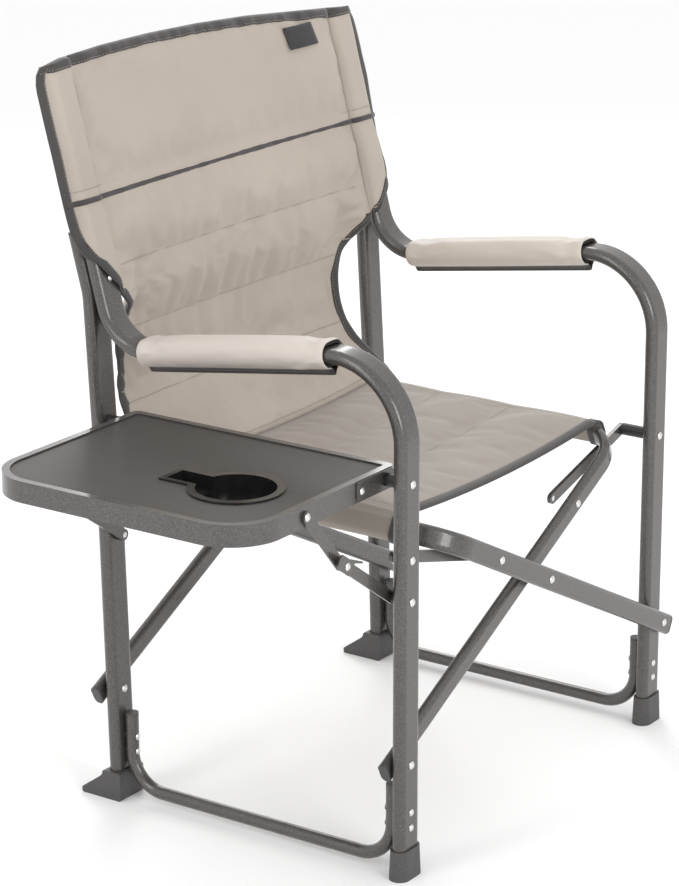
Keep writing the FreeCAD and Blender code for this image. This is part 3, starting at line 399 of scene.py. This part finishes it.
def shell(name, front, back, cells, materials, levels=1, hem=0):
    """A closed cloth shell over the marked cells of a grid.  The hem is that many columns at either
    side of the grid, and takes the second material."""
    rows, cols = front.shape[:2]
    build = Builder()
    build.verts = [tuple(p) for p in np.concatenate([front.reshape(-1, 3), back.reshape(-1, 3)])]
    for faces in shell_faces(cells, rows, cols):
        build.faces += faces
        columns = [[v % cols for v in face] for face in faces]
        build.marks += [int(hem > 0 and (max(c) <= hem or min(c) >= cols - 1 - hem)) for c in columns]
    return build.make(name, materials, levels=levels)


def simulate(front, back, cells, pins, pressure, growth, cap, bending=0.4):
    """Cloth simulation of the shell: pinned along seams and rim, swelled and slightly too large."""
    rows, cols = front.shape[:2]
    start = np.concatenate([front.reshape(-1, 3), back.reshape(-1, 3)])
    mesh = bpy.data.meshes.new("sim")
    quads = [f for faces in shell_faces(cells, rows, cols) for f in faces]
    used = np.array(sorted({v for f in quads for v in f}))
    number = {int(v): i for i, v in enumerate(used)}
    mesh.from_pydata(start[used].tolist(), [], [tuple(number[v] for v in f) for f in quads])
    obj = bpy.data.objects.new("sim", mesh)
    scene.collection.objects.link(obj)
    group = obj.vertex_groups.new(name="pins")
    held = np.concatenate([pins.reshape(-1), pins.reshape(-1)])
    for i, v in enumerate(used):
        if held[v] > 0:
            group.add([i], float(held[v]), "REPLACE")
    cloth = obj.modifiers.new("Cloth", "CLOTH")
    s = cloth.settings
    s.quality = 6
    s.mass = 0.25
    s.tension_stiffness = s.compression_stiffness = 18
    s.shear_stiffness = 6
    s.bending_stiffness = bending
    s.use_pressure = True
    s.uniform_pressure_force = pressure
    s.shrink_min = -growth
    s.vertex_group_mass = "pins"
    s.effector_weights.gravity = 0
    cloth.collision_settings.use_collision = False
    cloth.collision_settings.use_self_collision = False
    cloth.point_cache.frame_start, cloth.point_cache.frame_end = 1, 20
    for step in range(1, 21):
        scene.frame_set(step)
    evaluated = obj.evaluated_get(bpy.context.evaluated_depsgraph_get())
    moved = np.array([v.co for v in evaluated.data.vertices], float)
    travel = moved - start[used]
    reach = np.linalg.norm(travel, axis=1, keepdims=True)
    travel *= np.minimum(1.0, cap / np.maximum(reach, 1e-9))
    result = start.copy()
    result[used] = start[used] + travel
    bpy.data.objects.remove(obj)
    bpy.data.meshes.remove(mesh)
    scene.frame_set(1)
    half = rows * cols
    return result[:half].reshape(rows, cols, 3), result[half:].reshape(rows, cols, 3)


def smooth_table(values, table, width):
    """Reads a table of (place, value) pairs and rounds its corners."""
    places, heights = np.array(table, float).T
    spread = np.linspace(-width, width, 9)
    return np.mean([np.interp(values + s, places, heights) for s in spread], axis=0)


def wobble(point, scale, size, seed=0.0):
    """Smooth noise at a point, for soft goods that are never perfectly even."""
    return size * noise.noise(Vector((point[0] * scale + seed, point[1] * scale, point[2] * scale)))


def unit(v):
    return v / np.maximum(np.linalg.norm(v, axis=-1, keepdims=True), 1e-12)


def inset(line, distance):
    """The point a distance along a line of points."""
    left = distance
    for p, q in zip(line[:-1], line[1:]):
        step = np.linalg.norm(q - p)
        if step >= left:
            return p + (q - p) * left / max(step, 1e-9)
        left -= step
    return line[-1]


def edge_tape(build, fronts, backs, width, proud=0.0011, mark=0):
    """Binding folded over an edge.  fronts and backs hold, for each station along the edge, the
    cloth's points from the edge inwards on either face."""
    sections, inner, inner_normals = [], [], []
    for front, back in zip(fronts, backs):
        f = [inset(front, width * s) for s in (1.0, 0.96, 0.55, 0.15)]
        b = [inset(back, width * s) for s in (0.15, 0.55, 0.96, 1.0)]
        outward = unit((f[3] - f[0]) + (b[0] - b[3]))
        across = unit(f[2] - b[1])
        if np.linalg.norm(f[2] - b[1]) < 1e-6:
            across = np.array([0, -1.0, 0])
        lift = across * proud
        tip = (np.asarray(front[0]) + np.asarray(back[0])) / 2
        section = [f[0] - lift * 0.3, f[1] + lift, f[2] + lift * 1.1, f[3] + lift,
                   tip + outward * proud * 1.3 + lift * 0.6, tip + outward * proud * 1.3 - lift * 0.6,
                   b[0] - lift, b[1] - lift * 1.1, b[2] - lift, b[3] + lift * 0.3]
        sections.append(section)
        inner.append(inset(front, width * 0.80) + lift * 1.05)
        inner_normals.append(across)
    build.loop(sections, mark)
    build.stitches(inner, inner_normals, mark=mark + 1)


# --- back -----------------------------------------------------------------------------------------
BACK_LOW = 0.405
SEAMS = (BACK_LOW, 0.478, 0.566, 0.652, 0.732, 0.745, BACK_TOP)
CELLS_BETWEEN = (10, 12, 20, 13, 2, 18)
SEAT_FRONT, SEAT_BACK, SEAT_EDGE_Z, SEAT_SAG, SEAT_FLAT = -0.214, 0.119, 0.4085, 0.009, 0.205
# (height, half width) of the back on either side, from its low edge to its top
OUTLINES = {
    "right": [(0.40, 0.246), (0.435, 0.244), (0.455, 0.241), (0.48, 0.239), (0.50, 0.236), (0.52, 0.229),
              (0.545, 0.234), (0.575, 0.239), (0.60, 0.245), (0.62, 0.2555), (0.635, 0.270), (0.657, 0.290),
              (0.677, 0.307), (0.698, 0.317), (0.72, 0.3185), (0.90, 0.3185)],
    "left": [(0.40, 0.250), (0.435, 0.243), (0.455, 0.233), (0.48, 0.229), (0.52, 0.226), (0.545, 0.226),
             (0.57, 0.231), (0.592, 0.239), (0.607, 0.249), (0.62, 0.262), (0.635, 0.284), (0.645, 0.296),
             (0.655, 0.301), (0.69, 0.307), (0.78, 0.3150), (0.90, 0.3120)]}
# (x, rise) of the arched top edge above its level at the sitter's left corner
TOP_RISE = [(-0.320, 0.014), (-0.270, 0.021), (-0.19, 0.0235), (-0.10, 0.0235), (0.0, 0.021), (0.10, 0.0160),
            (0.20, 0.0080), (0.32, -0.0010)]
# (height, y) of the middle of the upright's tube, from its bend to its top
TUBE_LINE = [(0.55, 0.105), (0.58, 0.133), (0.60, 0.146), (0.624, 0.1577), (0.90, 0.2316)]
# (height, y) of the panel between the sleeves: low edge, belly, knee, top
HANG = [(0.38, 0.100), (0.405, 0.112), (0.425, 0.134), (0.45, 0.157), (0.49, 0.179), (0.53, 0.184),
        (0.58, 0.180), (0.62, 0.172), (0.66, 0.1685), (0.70, 0.178), (0.90, 0.2316)]
OUTLINE_ROUND, HANG_ROUND, TUBE_ROUND = 0.010, 0.016, 0.008
POCKET_LOW = 0.700
SLEEVE = np.array([0.0, 0.002, 0.005, 0.0085, 0.013, 0.018, 0.0235, 0.029, 0.0335, 0.0375, 0.041, 0.0435,
                   0.0465, 0.051]) / 0.051
TUBE_MID, TUBE_FLAT, SLEEVE_ROUND = 0.280, 0.0105, 0.0108


def sleeve_depth(x):
    """Half depth of the cloth round an upright at a distance from the chair's middle."""
    over = np.maximum(np.abs(np.abs(x) - TUBE_MID) - TUBE_FLAT, 0.0)
    round_part = SLEEVE_ROUND ** 2 - over ** 2
    return np.sqrt(np.maximum(round_part, 0.0))


def seat_edge(x):
    """Height of the seat's top along its rear rim."""
    flat = min(1.0, abs(x) / SEAT_FLAT)
    return SEAT_EDGE_Z - SEAT_SAG * (1 - flat ** 2) + 0.0019


def pucker(x, z, seam_gap, seed):
    """Little gathers that run away from a quilting seam and fade within a few centimetres."""
    fold = noise.noise(Vector((x * 46.0 + seed * 7.3, z * 7.0, seed)))
    return 0.0026 * math.exp(-seam_gap / 0.020) * fold


def long_crease(x, z):
    """Wide soft folds that cross the panel at a slant."""
    slant = x * 9.0 + z * 15.0
    return 0.0016 * noise.noise(Vector((slant, x * 3.0 - z * 2.0, 4.2)))


def back_grids():
    """Front and back sheets of the whole back, from the right sleeve to the left one."""
    heights = np.concatenate([np.linspace(a, b, n + 1)[(1 if i else 0):] for i, (a, b, n)
                              in enumerate(zip(SEAMS[:-1], SEAMS[1:], CELLS_BETWEEN))])
    corner = np.clip((heights - (BACK_TOP - 0.022)) / 0.022, 0, 1)
    shorter = 0.016 * (1 - np.sqrt(1 - 0.97 * corner ** 2))
    reach = {side: smooth_table(heights, OUTLINES[side], OUTLINE_ROUND) - shorter for side in OUTLINES}
    depth = smooth_table(heights, HANG, HANG_ROUND)
    tube_line = smooth_table(heights, TUBE_LINE, TUBE_ROUND)
    sleeves = len(SLEEVE) - 1
    middle_count = 81
    cols = middle_count + 2 * sleeves
    rows = len(heights)
    front, back = np.zeros((rows, cols, 3)), np.zeros((rows, cols, 3))
    pins = np.zeros((rows, cols))
    cells = np.zeros((rows - 1, cols - 1), bool)
    seam_rows = np.cumsum((0,) + CELLS_BETWEEN)
    for r, z_row in enumerate(heights):
        inner = {side: min(reach[side][r], SEAM_X) for side in reach}
        right = -(SEAM_X + (reach["right"][r] - SEAM_X) * SLEEVE[::-1][:-1])
        left = SEAM_X + (reach["left"][r] - SEAM_X) * SLEEVE[1:]
        xs = np.concatenate([right, np.linspace(-inner["right"], inner["left"], middle_count), left])
        k = int(np.searchsorted(seam_rows, r, side="right") - 1)
        k = min(k, len(seam_rows) - 2)
        share = (r - seam_rows[k]) / (seam_rows[k + 1] - seam_rows[k])
        swell = math.sin(math.pi * share)
        lean = LEAN * np.clip((z_row - 0.63) / 0.05, 0, 1)
        out = np.array([0, -math.cos(lean), math.sin(lean)])
        gaps = [(abs(z_row - SEAMS[n]), n) for n in (1, 2, 3, 4)]
        for c, x in enumerate(xs):
            side = "right" if x < 0 else "left"
            z = z_row
            if k == 0:
                z = seat_edge(x) + (z_row - BACK_LOW) * (SEAMS[1] - seat_edge(x)) / (SEAMS[1] - BACK_LOW)
            edge = np.clip((inner[side] - abs(x)) / 0.03, 0, 1)
            sag = 0.006 * max(0.0, 1 - (x / 0.257) ** 2) * np.clip((z - BACK_LOW) / 0.05, 0, 1)
            over = np.clip((abs(x) - 0.205) / 0.05, 0, 1) * np.clip((z - 0.56) / 0.05, 0, 1)
            over = over * over * (3 - 2 * over)
            arch = float(np.interp(x, *np.array(TOP_RISE).T))
            rise = arch * max(0.0, (z - SEAMS[5]) / (BACK_TOP - SEAMS[5]))
            y = depth[r] * (1 - over) + tube_line[r] * over + sag + rise * math.tan(LEAN)
            base = np.array([x, y, z + rise])
            plump = 0.0014 + (0.0036 * swell + 0.001) * edge
            plump += wobble(base, 14.0, 0.0012) * swell * edge
            gathers = sum(pucker(x, z, gap, n) for gap, n in gaps) * edge
            thick_front = plump + gathers + long_crease(x, z) * edge * swell
            thick_back = plump - gathers * 0.5
            if abs(x) > SEAM_X - 1e-6 and reach[side][r] > SEAM_X:
                around = max(sleeve_depth(x), 0.0016)
                around += 0.0026 * np.clip((0.725 - z) / 0.02, 0, 1) * min(1.0, around / 0.006)
                thick_front = around + max(0.0, wobble((x, 0.2, z), 26.0, 0.0016))
                thick_back = around if z >= POCKET_LOW else -around + 0.0026
                thick_back = max(thick_back, -thick_front + 0.0026)
            front[r, c] = base + out * thick_front
            back[r, c] = base - out * max(thick_back, 0.0012 - thick_front)
        if r < rows - 1:
            cells[r, sleeves:cols - 1 - sleeves] = True
            cells[r, :sleeves] = reach["right"][r] > SEAM_X + 0.002
            cells[r, cols - 1 - sleeves:] = reach["left"][r] > SEAM_X + 0.002
        if r in seam_rows:
            pins[r, :] = 1
        pins[r, :sleeves + 1] = pins[r, cols - 1 - sleeves:] = 1
    return front, back, cells, pins, seam_rows, sleeves


def outline_lines(front, back, picks):
    """For each (row, col, step) pick, the points from the edge inwards on both faces."""
    fronts, backs = [], []
    for r, c, dr, dc in picks:
        count = 14
        rs = [min(max(r + dr * i, 0), front.shape[0] - 1) for i in range(count)]
        cs = [min(max(c + dc * i, 0), front.shape[1] - 1) for i in range(count)]
        fronts.append([front[a, b] for a, b in zip(rs, cs)])
        backs.append([back[a, b] for a, b in zip(rs, cs)])
    return fronts, backs


# a folded strip's cross-section, as shares of its width and of its height above the cloth
STRIP = ((-0.5, -0.3), (-0.52, 0.45), (-0.3, 0.9), (0, 1.05), (0.3, 0.9), (0.52, 0.45), (0.5, -0.3))


def piping(build, points, normals, width, proud):
    """A folded strip lying on the cloth, with a rounded top."""
    sections = []
    points, normals = np.asarray(points), unit(np.asarray(normals))
    ways = unit(np.gradient(points, axis=0))
    for p, n, w in zip(points, normals, ways):
        side = np.cross(w, n)
        sections.append([p + side * width * a + n * proud * b for a, b in STRIP])
    build.loop(sections)


def grid_normals(grid):
    """Normals of a grid of points."""
    across = np.gradient(grid, axis=1)
    upward = np.gradient(grid, axis=0)
    return unit(np.cross(across, upward))


front, back, cells, pins, seam_rows, sleeves = back_grids()
front, back = simulate(front, back, cells, pins, pressure=2.6, growth=0.045, cap=0.008, bending=0.12)
rows, cols = front.shape[:2]
low_left, low_right = sleeves, cols - 1 - sleeves
parts_of_back = {"centre": (low_left, low_right), "right": (0, low_left), "left": (low_right, cols - 1)}
back_pieces = {}
for part, (first, last) in parts_of_back.items():
    mine = np.zeros_like(cells)
    mine[:, first:last] = cells[:, first:last]
    title = "back_pad" if part == "centre" else f"{part}_back_sleeve"
    back_pieces[part] = shell(title, front, back, mine, [MATERIALS["sand_fabric"]])

normals = grid_normals(front)
first_wide = {"right": int(np.argmax(cells[:, 0])), "left": int(np.argmax(cells[:, -1]))}
PIPING_ROW, HEM_ROW = int(seam_rows[4]), int(seam_rows[5])
TAPE_WIDTH, SEAT_TAPE = 0.0125, 0.0115
PIPING_WIDE, PIPING_PROUD = 0.0062, 0.0022
trims = {}
for part, (first, last) in parts_of_back.items():
    build = Builder()
    columns = range(first, last + 1)
    edge_tape(build, *outline_lines(front, back, [(rows - 1, c, -1, 0) for c in columns]), TAPE_WIDTH)
    piping(build, [front[PIPING_ROW, c] for c in columns], [normals[PIPING_ROW, c] for c in columns],
           PIPING_WIDE, PIPING_PROUD)
    build.stitches([front[HEM_ROW, c] + normals[HEM_ROW, c] * 0.0003 for c in columns],
                   [normals[HEM_ROW, c] for c in columns])
    if part == "centre":
        for side, c, step in (("right", first, 1), ("left", last, -1)):
            edge_tape(build, *outline_lines(front, back, [(r, c, 0, step) for r in
                                                          range(first_wide[side] + 1)]), TAPE_WIDTH)
        for r in (1, *(int(seam_rows[k]) for k in (1, 2, 3))):
            build.stitches([front[r, c] + normals[r, c] * 0.0004 for c in list(columns)[2:-2]],
                           [normals[r, c] for c in list(columns)[2:-2]])
    else:
        c, step = (0, 1) if part == "right" else (cols - 1, -1)
        edge_tape(build, *outline_lines(front, back, [(r, c, 0, step) for r in
                                                      range(first_wide[part], rows)]), TAPE_WIDTH)
    trims[part] = build.make(f"{part}_back_trim", [DARK_TAPE, THREAD])

# the blank woven tag near the top, on the sitter's left
surface = BVHTree.FromPolygons([tuple(p) for p in front.reshape(-1, 3)],
                               shell_faces(cells, rows, cols)[0])
TAG_X, TAG_Z, TAG_WIDE, TAG_HIGH = 0.180, 0.853, 0.060, 0.026
tag = Builder()
tag_spots = []
for v in np.linspace(-0.5, 0.5, 7):
    for u in np.linspace(-0.5, 0.5, 13):
        ray = Vector((TAG_X + u * TAG_WIDE, -0.2, TAG_Z + v * TAG_HIGH))
        tag_spots.append(tuple(surface.ray_cast(ray, Vector((0, 1, 0)))[0]))
tag_spots = np.array(tag_spots)
bends = np.stack([np.ones(len(tag_spots)), tag_spots[:, 0], tag_spots[:, 2], tag_spots[:, 0] ** 2], axis=1)
fitted = bends @ np.linalg.lstsq(bends, tag_spots[:, 1], rcond=None)[0]
tag_spots[:, 1] = fitted - 0.0014 + min(0.0, float(np.min(tag_spots[:, 1] - fitted)))
tag.grid(tag_spots.reshape(7, 13, 3).tolist())
tag_object = tag.make("back_tag", [TAG_FACE])
thick = tag_object.modifiers.new("Thick", "SOLIDIFY")
thick.thickness = 0.0009
thick.offset = 0

# --- seat -----------------------------------------------------------------------------------------
RAIL_X, RAIL_Z = 0.2219, 0.3926
RAIL_TILT = math.atan2(0.142, 0.280)
RAIL_FLAT, RAIL_ROUND = 0.0065, 0.0088
CHANNELS = (SEAT_FRONT, -0.095, 0.012, SEAT_BACK)
SEAT_CELLS = (13, 12, 12)


def rail_envelope(x):
    """Top and bottom of the cloth round a seat rail at a distance from the chair's middle."""
    tops, lows = [], []
    for s in np.linspace(-RAIL_FLAT, RAIL_FLAT, 15):
        px, pz = RAIL_X - s * math.sin(RAIL_TILT), RAIL_Z + s * math.cos(RAIL_TILT)
        inside = RAIL_ROUND ** 2 - (abs(x) - px) ** 2
        if inside > 0:
            tops.append(pz + math.sqrt(inside))
            lows.append(pz - math.sqrt(inside))
    return (max(tops), min(lows)) if tops else (None, None)


def seat_grids():
    tip = RAIL_X + RAIL_FLAT * math.sin(RAIL_TILT) + RAIL_ROUND - 0.00006
    near = [0, 0.0006, 0.0018, 0.0035, 0.0058, 0.0085, 0.0115, 0.0145, 0.0175, 0.0205, 0.0232,
            0.026, 0.030, 0.037]
    outer = tip - np.array(near)
    middle = np.linspace(-outer[-1] + 0.0075, outer[-1] - 0.0075, 47)
    xs = np.concatenate([-outer, middle, outer[::-1]])
    ys = np.concatenate([np.linspace(a, b, n + 1)[(1 if i else 0):] for i, (a, b, n)
                         in enumerate(zip(CHANNELS[:-1], CHANNELS[1:], SEAT_CELLS))])
    seam = np.cumsum((0,) + SEAT_CELLS)
    rows, cols = len(ys), len(xs)
    top, low = np.zeros((rows, cols, 3)), np.zeros((rows, cols, 3))
    pins = np.zeros((rows, cols))
    for r, y in enumerate(ys):
        k = min(int(np.searchsorted(seam, r, side="right") - 1), len(seam) - 2)
        share = (r - seam[k]) / (seam[k + 1] - seam[k])
        swell = math.sin(math.pi * share)
        rim = min(r, rows - 1 - r) / 2.0
        for c, x in enumerate(xs):
            flat = min(1.0, abs(x) / SEAT_FLAT)
            z = SEAT_EDGE_Z - SEAT_SAG * (1 - flat ** 2)
            half = 0.0030 + 0.0014 * swell * min(rim, 1.0)
            half = half if rim >= 1 else 0.0016 + (half - 0.0016) * rim
            upper, lower = z + half, z - half
            high, deep = rail_envelope(x)
            if high is not None:
                upper = high if abs(x) > 0.2175 else max(upper - 0.001, high)
                lower = min(lower, deep)
            top[r, c] = (x, y, upper)
            low[r, c] = (x, y, lower)
            if abs(x) > 0.2 or r in seam or rim <= 1:
                pins[r, c] = 1
    return top, low, np.ones((rows - 1, cols - 1), bool), pins, seam


def rail_band(side):
    """Sections of the binding that goes round the sleeve's open end on a seat rail."""
    sections = []
    for a in np.linspace(0, 2 * math.pi, 49)[:-1]:
        flat = RAIL_FLAT * max(-1.0, min(1.0, 3.0 * math.cos(a)))
        section = []
        for y, proud in ((-0.0012, 0.0004), (-0.0016, 0.0014), (0.0006, 0.0024), (0.0105, 0.0022),
                         (0.0112, 0.0010), (0.0100, 0.0002)):
            across = (RAIL_ROUND + proud) * math.sin(a)
            along = flat + (RAIL_ROUND + proud) * math.cos(a)
            x = RAIL_X - along * math.sin(RAIL_TILT) + across * math.cos(RAIL_TILT)
            z = RAIL_Z + along * math.cos(RAIL_TILT) + across * math.sin(RAIL_TILT)
            section.append((side * x, SEAT_FRONT + y, z))
        sections.append(section)
    return sections


top, low, seat_cells, seat_pins, seat_seam = seat_grids()
top, low = simulate(top, low, seat_cells, seat_pins, pressure=1.2, growth=0.012, cap=0.004)
seat = shell("seat_pad", top, low, seat_cells, [SAND_SEAT_SHADED])
seat_normals = grid_normals(top)
seat_rows, seat_cols = top.shape[:2]
trim = Builder()
edge_tape(trim, *outline_lines(top, low, [(0, c, 1, 0) for c in range(1, seat_cols - 1)]), SEAT_TAPE)
for k in (1, 2):
    r = int(seat_seam[k])
    inner_columns = [c for c in range(seat_cols) if abs(top[r, c, 0]) < SEAT_FLAT]
    trim.stitches([top[r, c] + seat_normals[r, c] * 0.0003 for c in inner_columns],
                  [seat_normals[r, c] for c in inner_columns], thick=0.00035)
for side in (-1, 1):
    c = int(np.argmin(np.abs(top[2, :, 0] - side * 0.2035)))
    trim.stitches([top[r, c] + seat_normals[r, c] * 0.0003 for r in range(2, seat_rows - 2)],
                  [seat_normals[r, c] for r in range(2, seat_rows - 2)], thick=0.00035)
    trim.ring(rail_band(side))
seat_trim = trim.make("seat_trim", [DARK_TAPE, THREAD])

# --- arm pads -------------------------------------------------------------------------------------
ARM_SLOPE = math.radians(8.5)
ARM_START, ARM_LENGTH, ARM_CORNER_Z = -0.158, 0.258, 0.6199
COVER_HALF_WIDE, COVER_HALF_HIGH, COVER_SWELL = 0.0229, 0.0163, 1.03
COVER_OVER, COVER_THICK = 0.003, 0.0013
HEM_DEPTHS = (0.0080, 0.0038)


def arm_cover(side, x_mid):
    """A sewn cover: one sheet wrapped round the foam and closed by a hem underneath, which is coloured dark.
    """
    rows = 34
    along = np.array([0, math.cos(ARM_SLOPE), -math.sin(ARM_SLOPE)])
    upward = np.array([0, math.sin(ARM_SLOPE), math.cos(ARM_SLOPE)])
    start_z = ARM_CORNER_Z - (ARM_START - FRONT_LEG_Y) * math.tan(ARM_SLOPE)
    start = np.array([x_mid, ARM_START, start_z])
    angles = np.linspace(-math.pi, math.pi, 41)
    flat = COVER_HALF_WIDE - COVER_HALF_HIGH
    low = COVER_HALF_HIGH * COVER_SWELL
    outer, inner = [], []
    for r in range(rows):
        s = -COVER_OVER + (ARM_LENGTH + 2 * COVER_OVER) * r / (rows - 1)
        centre = start + along * s
        end = min(s + COVER_OVER, ARM_LENGTH + COVER_OVER - s)
        ring_out, ring_in = [], []
        for a in angles:
            radius = low + wobble((x_mid * 3, s * 9.0, a * 0.8), 1.0, 0.0006)
            radius -= 0.0011 * max(0.0, 1 - end / 0.006)
            x = radius * math.sin(a) + math.copysign(flat, math.sin(a)) * min(1.0, abs(math.sin(a)) * 3.0)
            point = centre + np.array([x, 0, 0]) + upward * radius * math.cos(a)
            normal = unit(np.array([math.sin(a), 0, 0]) + upward * math.cos(a))
            ring_out.append(point)
            ring_in.append(point - normal * COVER_THICK)
        flap = [[centre + np.array([sign * 0.0011, 0, 0]) - upward * (low + d) for d in HEM_DEPTHS]
                for sign in (-1, 1)]
        gap_in = [[p - np.array([sign * 0.0010, 0, 0]) for p in f] for sign, f in zip((-1, 1), flap)]
        outer.append(flap[0] + ring_out[1:-1] + flap[1][::-1])
        inner.append(gap_in[0] + ring_in[1:-1] + gap_in[1][::-1])
    outer, inner = np.array(outer), np.array(inner)
    cells = np.ones((rows - 1, outer.shape[1] - 1), bool)
    pins = np.zeros(outer.shape[:2])
    pins[:, :4] = pins[:, -4:] = 1
    pins[:1] = pins[-1:] = 0.85
    outer, _inner = simulate(outer, inner, cells, pins, pressure=1.0, growth=0.02, cap=0.0016)
    piece = shell(f"{side}_arm_pad", outer, inner, cells, [SAND_ARM, DARK_TAPE], hem=2)
    trim = Builder()
    normals = grid_normals(outer)
    if np.dot(normals[5, outer.shape[1] // 2], upward) < 0:
        normals = -normals
    for c in (1, outer.shape[1] - 2):
        trim.stitches([outer[r, c] + normals[r, c] * 0.0003 for r in range(1, rows - 1)],
                      [normals[r, c] for r in range(1, rows - 1)], mark=0)
    return piece, trim.make(f"{side}_arm_stitches", [THREAD])


arm_pieces = {side: arm_cover(side, x) for side, x in (("right", -TUBE_MID), ("left", TUBE_MID))}

# --- how the soft pieces move ----------------------------------------------------------------------
for piece in (back_pieces["centre"], trims["centre"], tag_object):
    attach(piece, "right_side")
    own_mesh(piece)
for side in ("right", "left"):
    for piece in (back_pieces[side], trims[side], *arm_pieces[side]):
        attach(piece, f"{side}_side")
    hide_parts(f"{side}_back_pocket")
    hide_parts(f"{side}_arm_cover")
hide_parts("back_panel")
for piece in (seat, seat_trim):
    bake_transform(piece)
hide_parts("seat_panel", "right_seat_sleeve", "left_seat_sleeve")

# --- floor, light and camera -----------------------------------------------------------------------
FLOOR_RADIUS = 14.0
floor_mesh = bpy.data.meshes.new("floor")
rim_angles = np.linspace(0, 2 * math.pi, 65)[:-1]
rim = [(FLOOR_RADIUS * math.cos(a), FLOOR_RADIUS * math.sin(a), 0) for a in rim_angles]
floor_mesh.from_pydata(rim, [], [tuple(range(len(rim)))])
floor_paint = Nodes("floor", (0.96, 0.96, 0.96), 0.8)
floor_mesh.materials.append(floor_paint.material)
floor = bpy.data.objects.new("floor", floor_mesh)
scene.collection.objects.link(floor)

world = bpy.data.worlds.new("studio")
world.use_nodes = True
world.node_tree.nodes["Background"].inputs["Color"].default_value = (1.0, 1.0, 1.0, 1)
world.node_tree.nodes["Background"].inputs["Strength"].default_value = 1.0
scene.world = world


def softbox(name, spot, target, size, power):
    light = bpy.data.lights.new(name, "AREA")
    light.shape = "RECTANGLE"
    light.size, light.size_y = size
    light.energy = power
    obj = bpy.data.objects.new(name, light)
    obj.location = at(*spot)
    aim = at(*target) - obj.location
    obj.rotation_euler = aim.to_track_quat("-Z", "Y").to_euler()
    scene.collection.objects.link(obj)


softbox("key", (-1.3, -3.2, 1.7), (0, 0, 0.5), (1.2, 1.6), 40)
softbox("side", (-2.8, 0.6, 1.7), (0, 0, 0.45), (0.7, 2.2), 18)
softbox("rim", (1.9, 1.5, 2.2), (0, 0, 0.5), (0.8, 1.8), 20)

camera = bpy.data.cameras.new("camera")
camera.lens = 130.4
camera.shift_x, camera.shift_y = -0.0187, -0.0401
camera.clip_end = 60
eye = bpy.data.objects.new("camera", camera)
eye.location = at(-3.08446, -2.10403, 1.58312)
eye.rotation_euler = (-Vector((-0.7901, -0.5391, 0.2916))).to_track_quat("-Z", "Y").to_euler()
scene.collection.objects.link(eye)
scene.camera = eye
scene.view_settings.view_transform = "Standard"
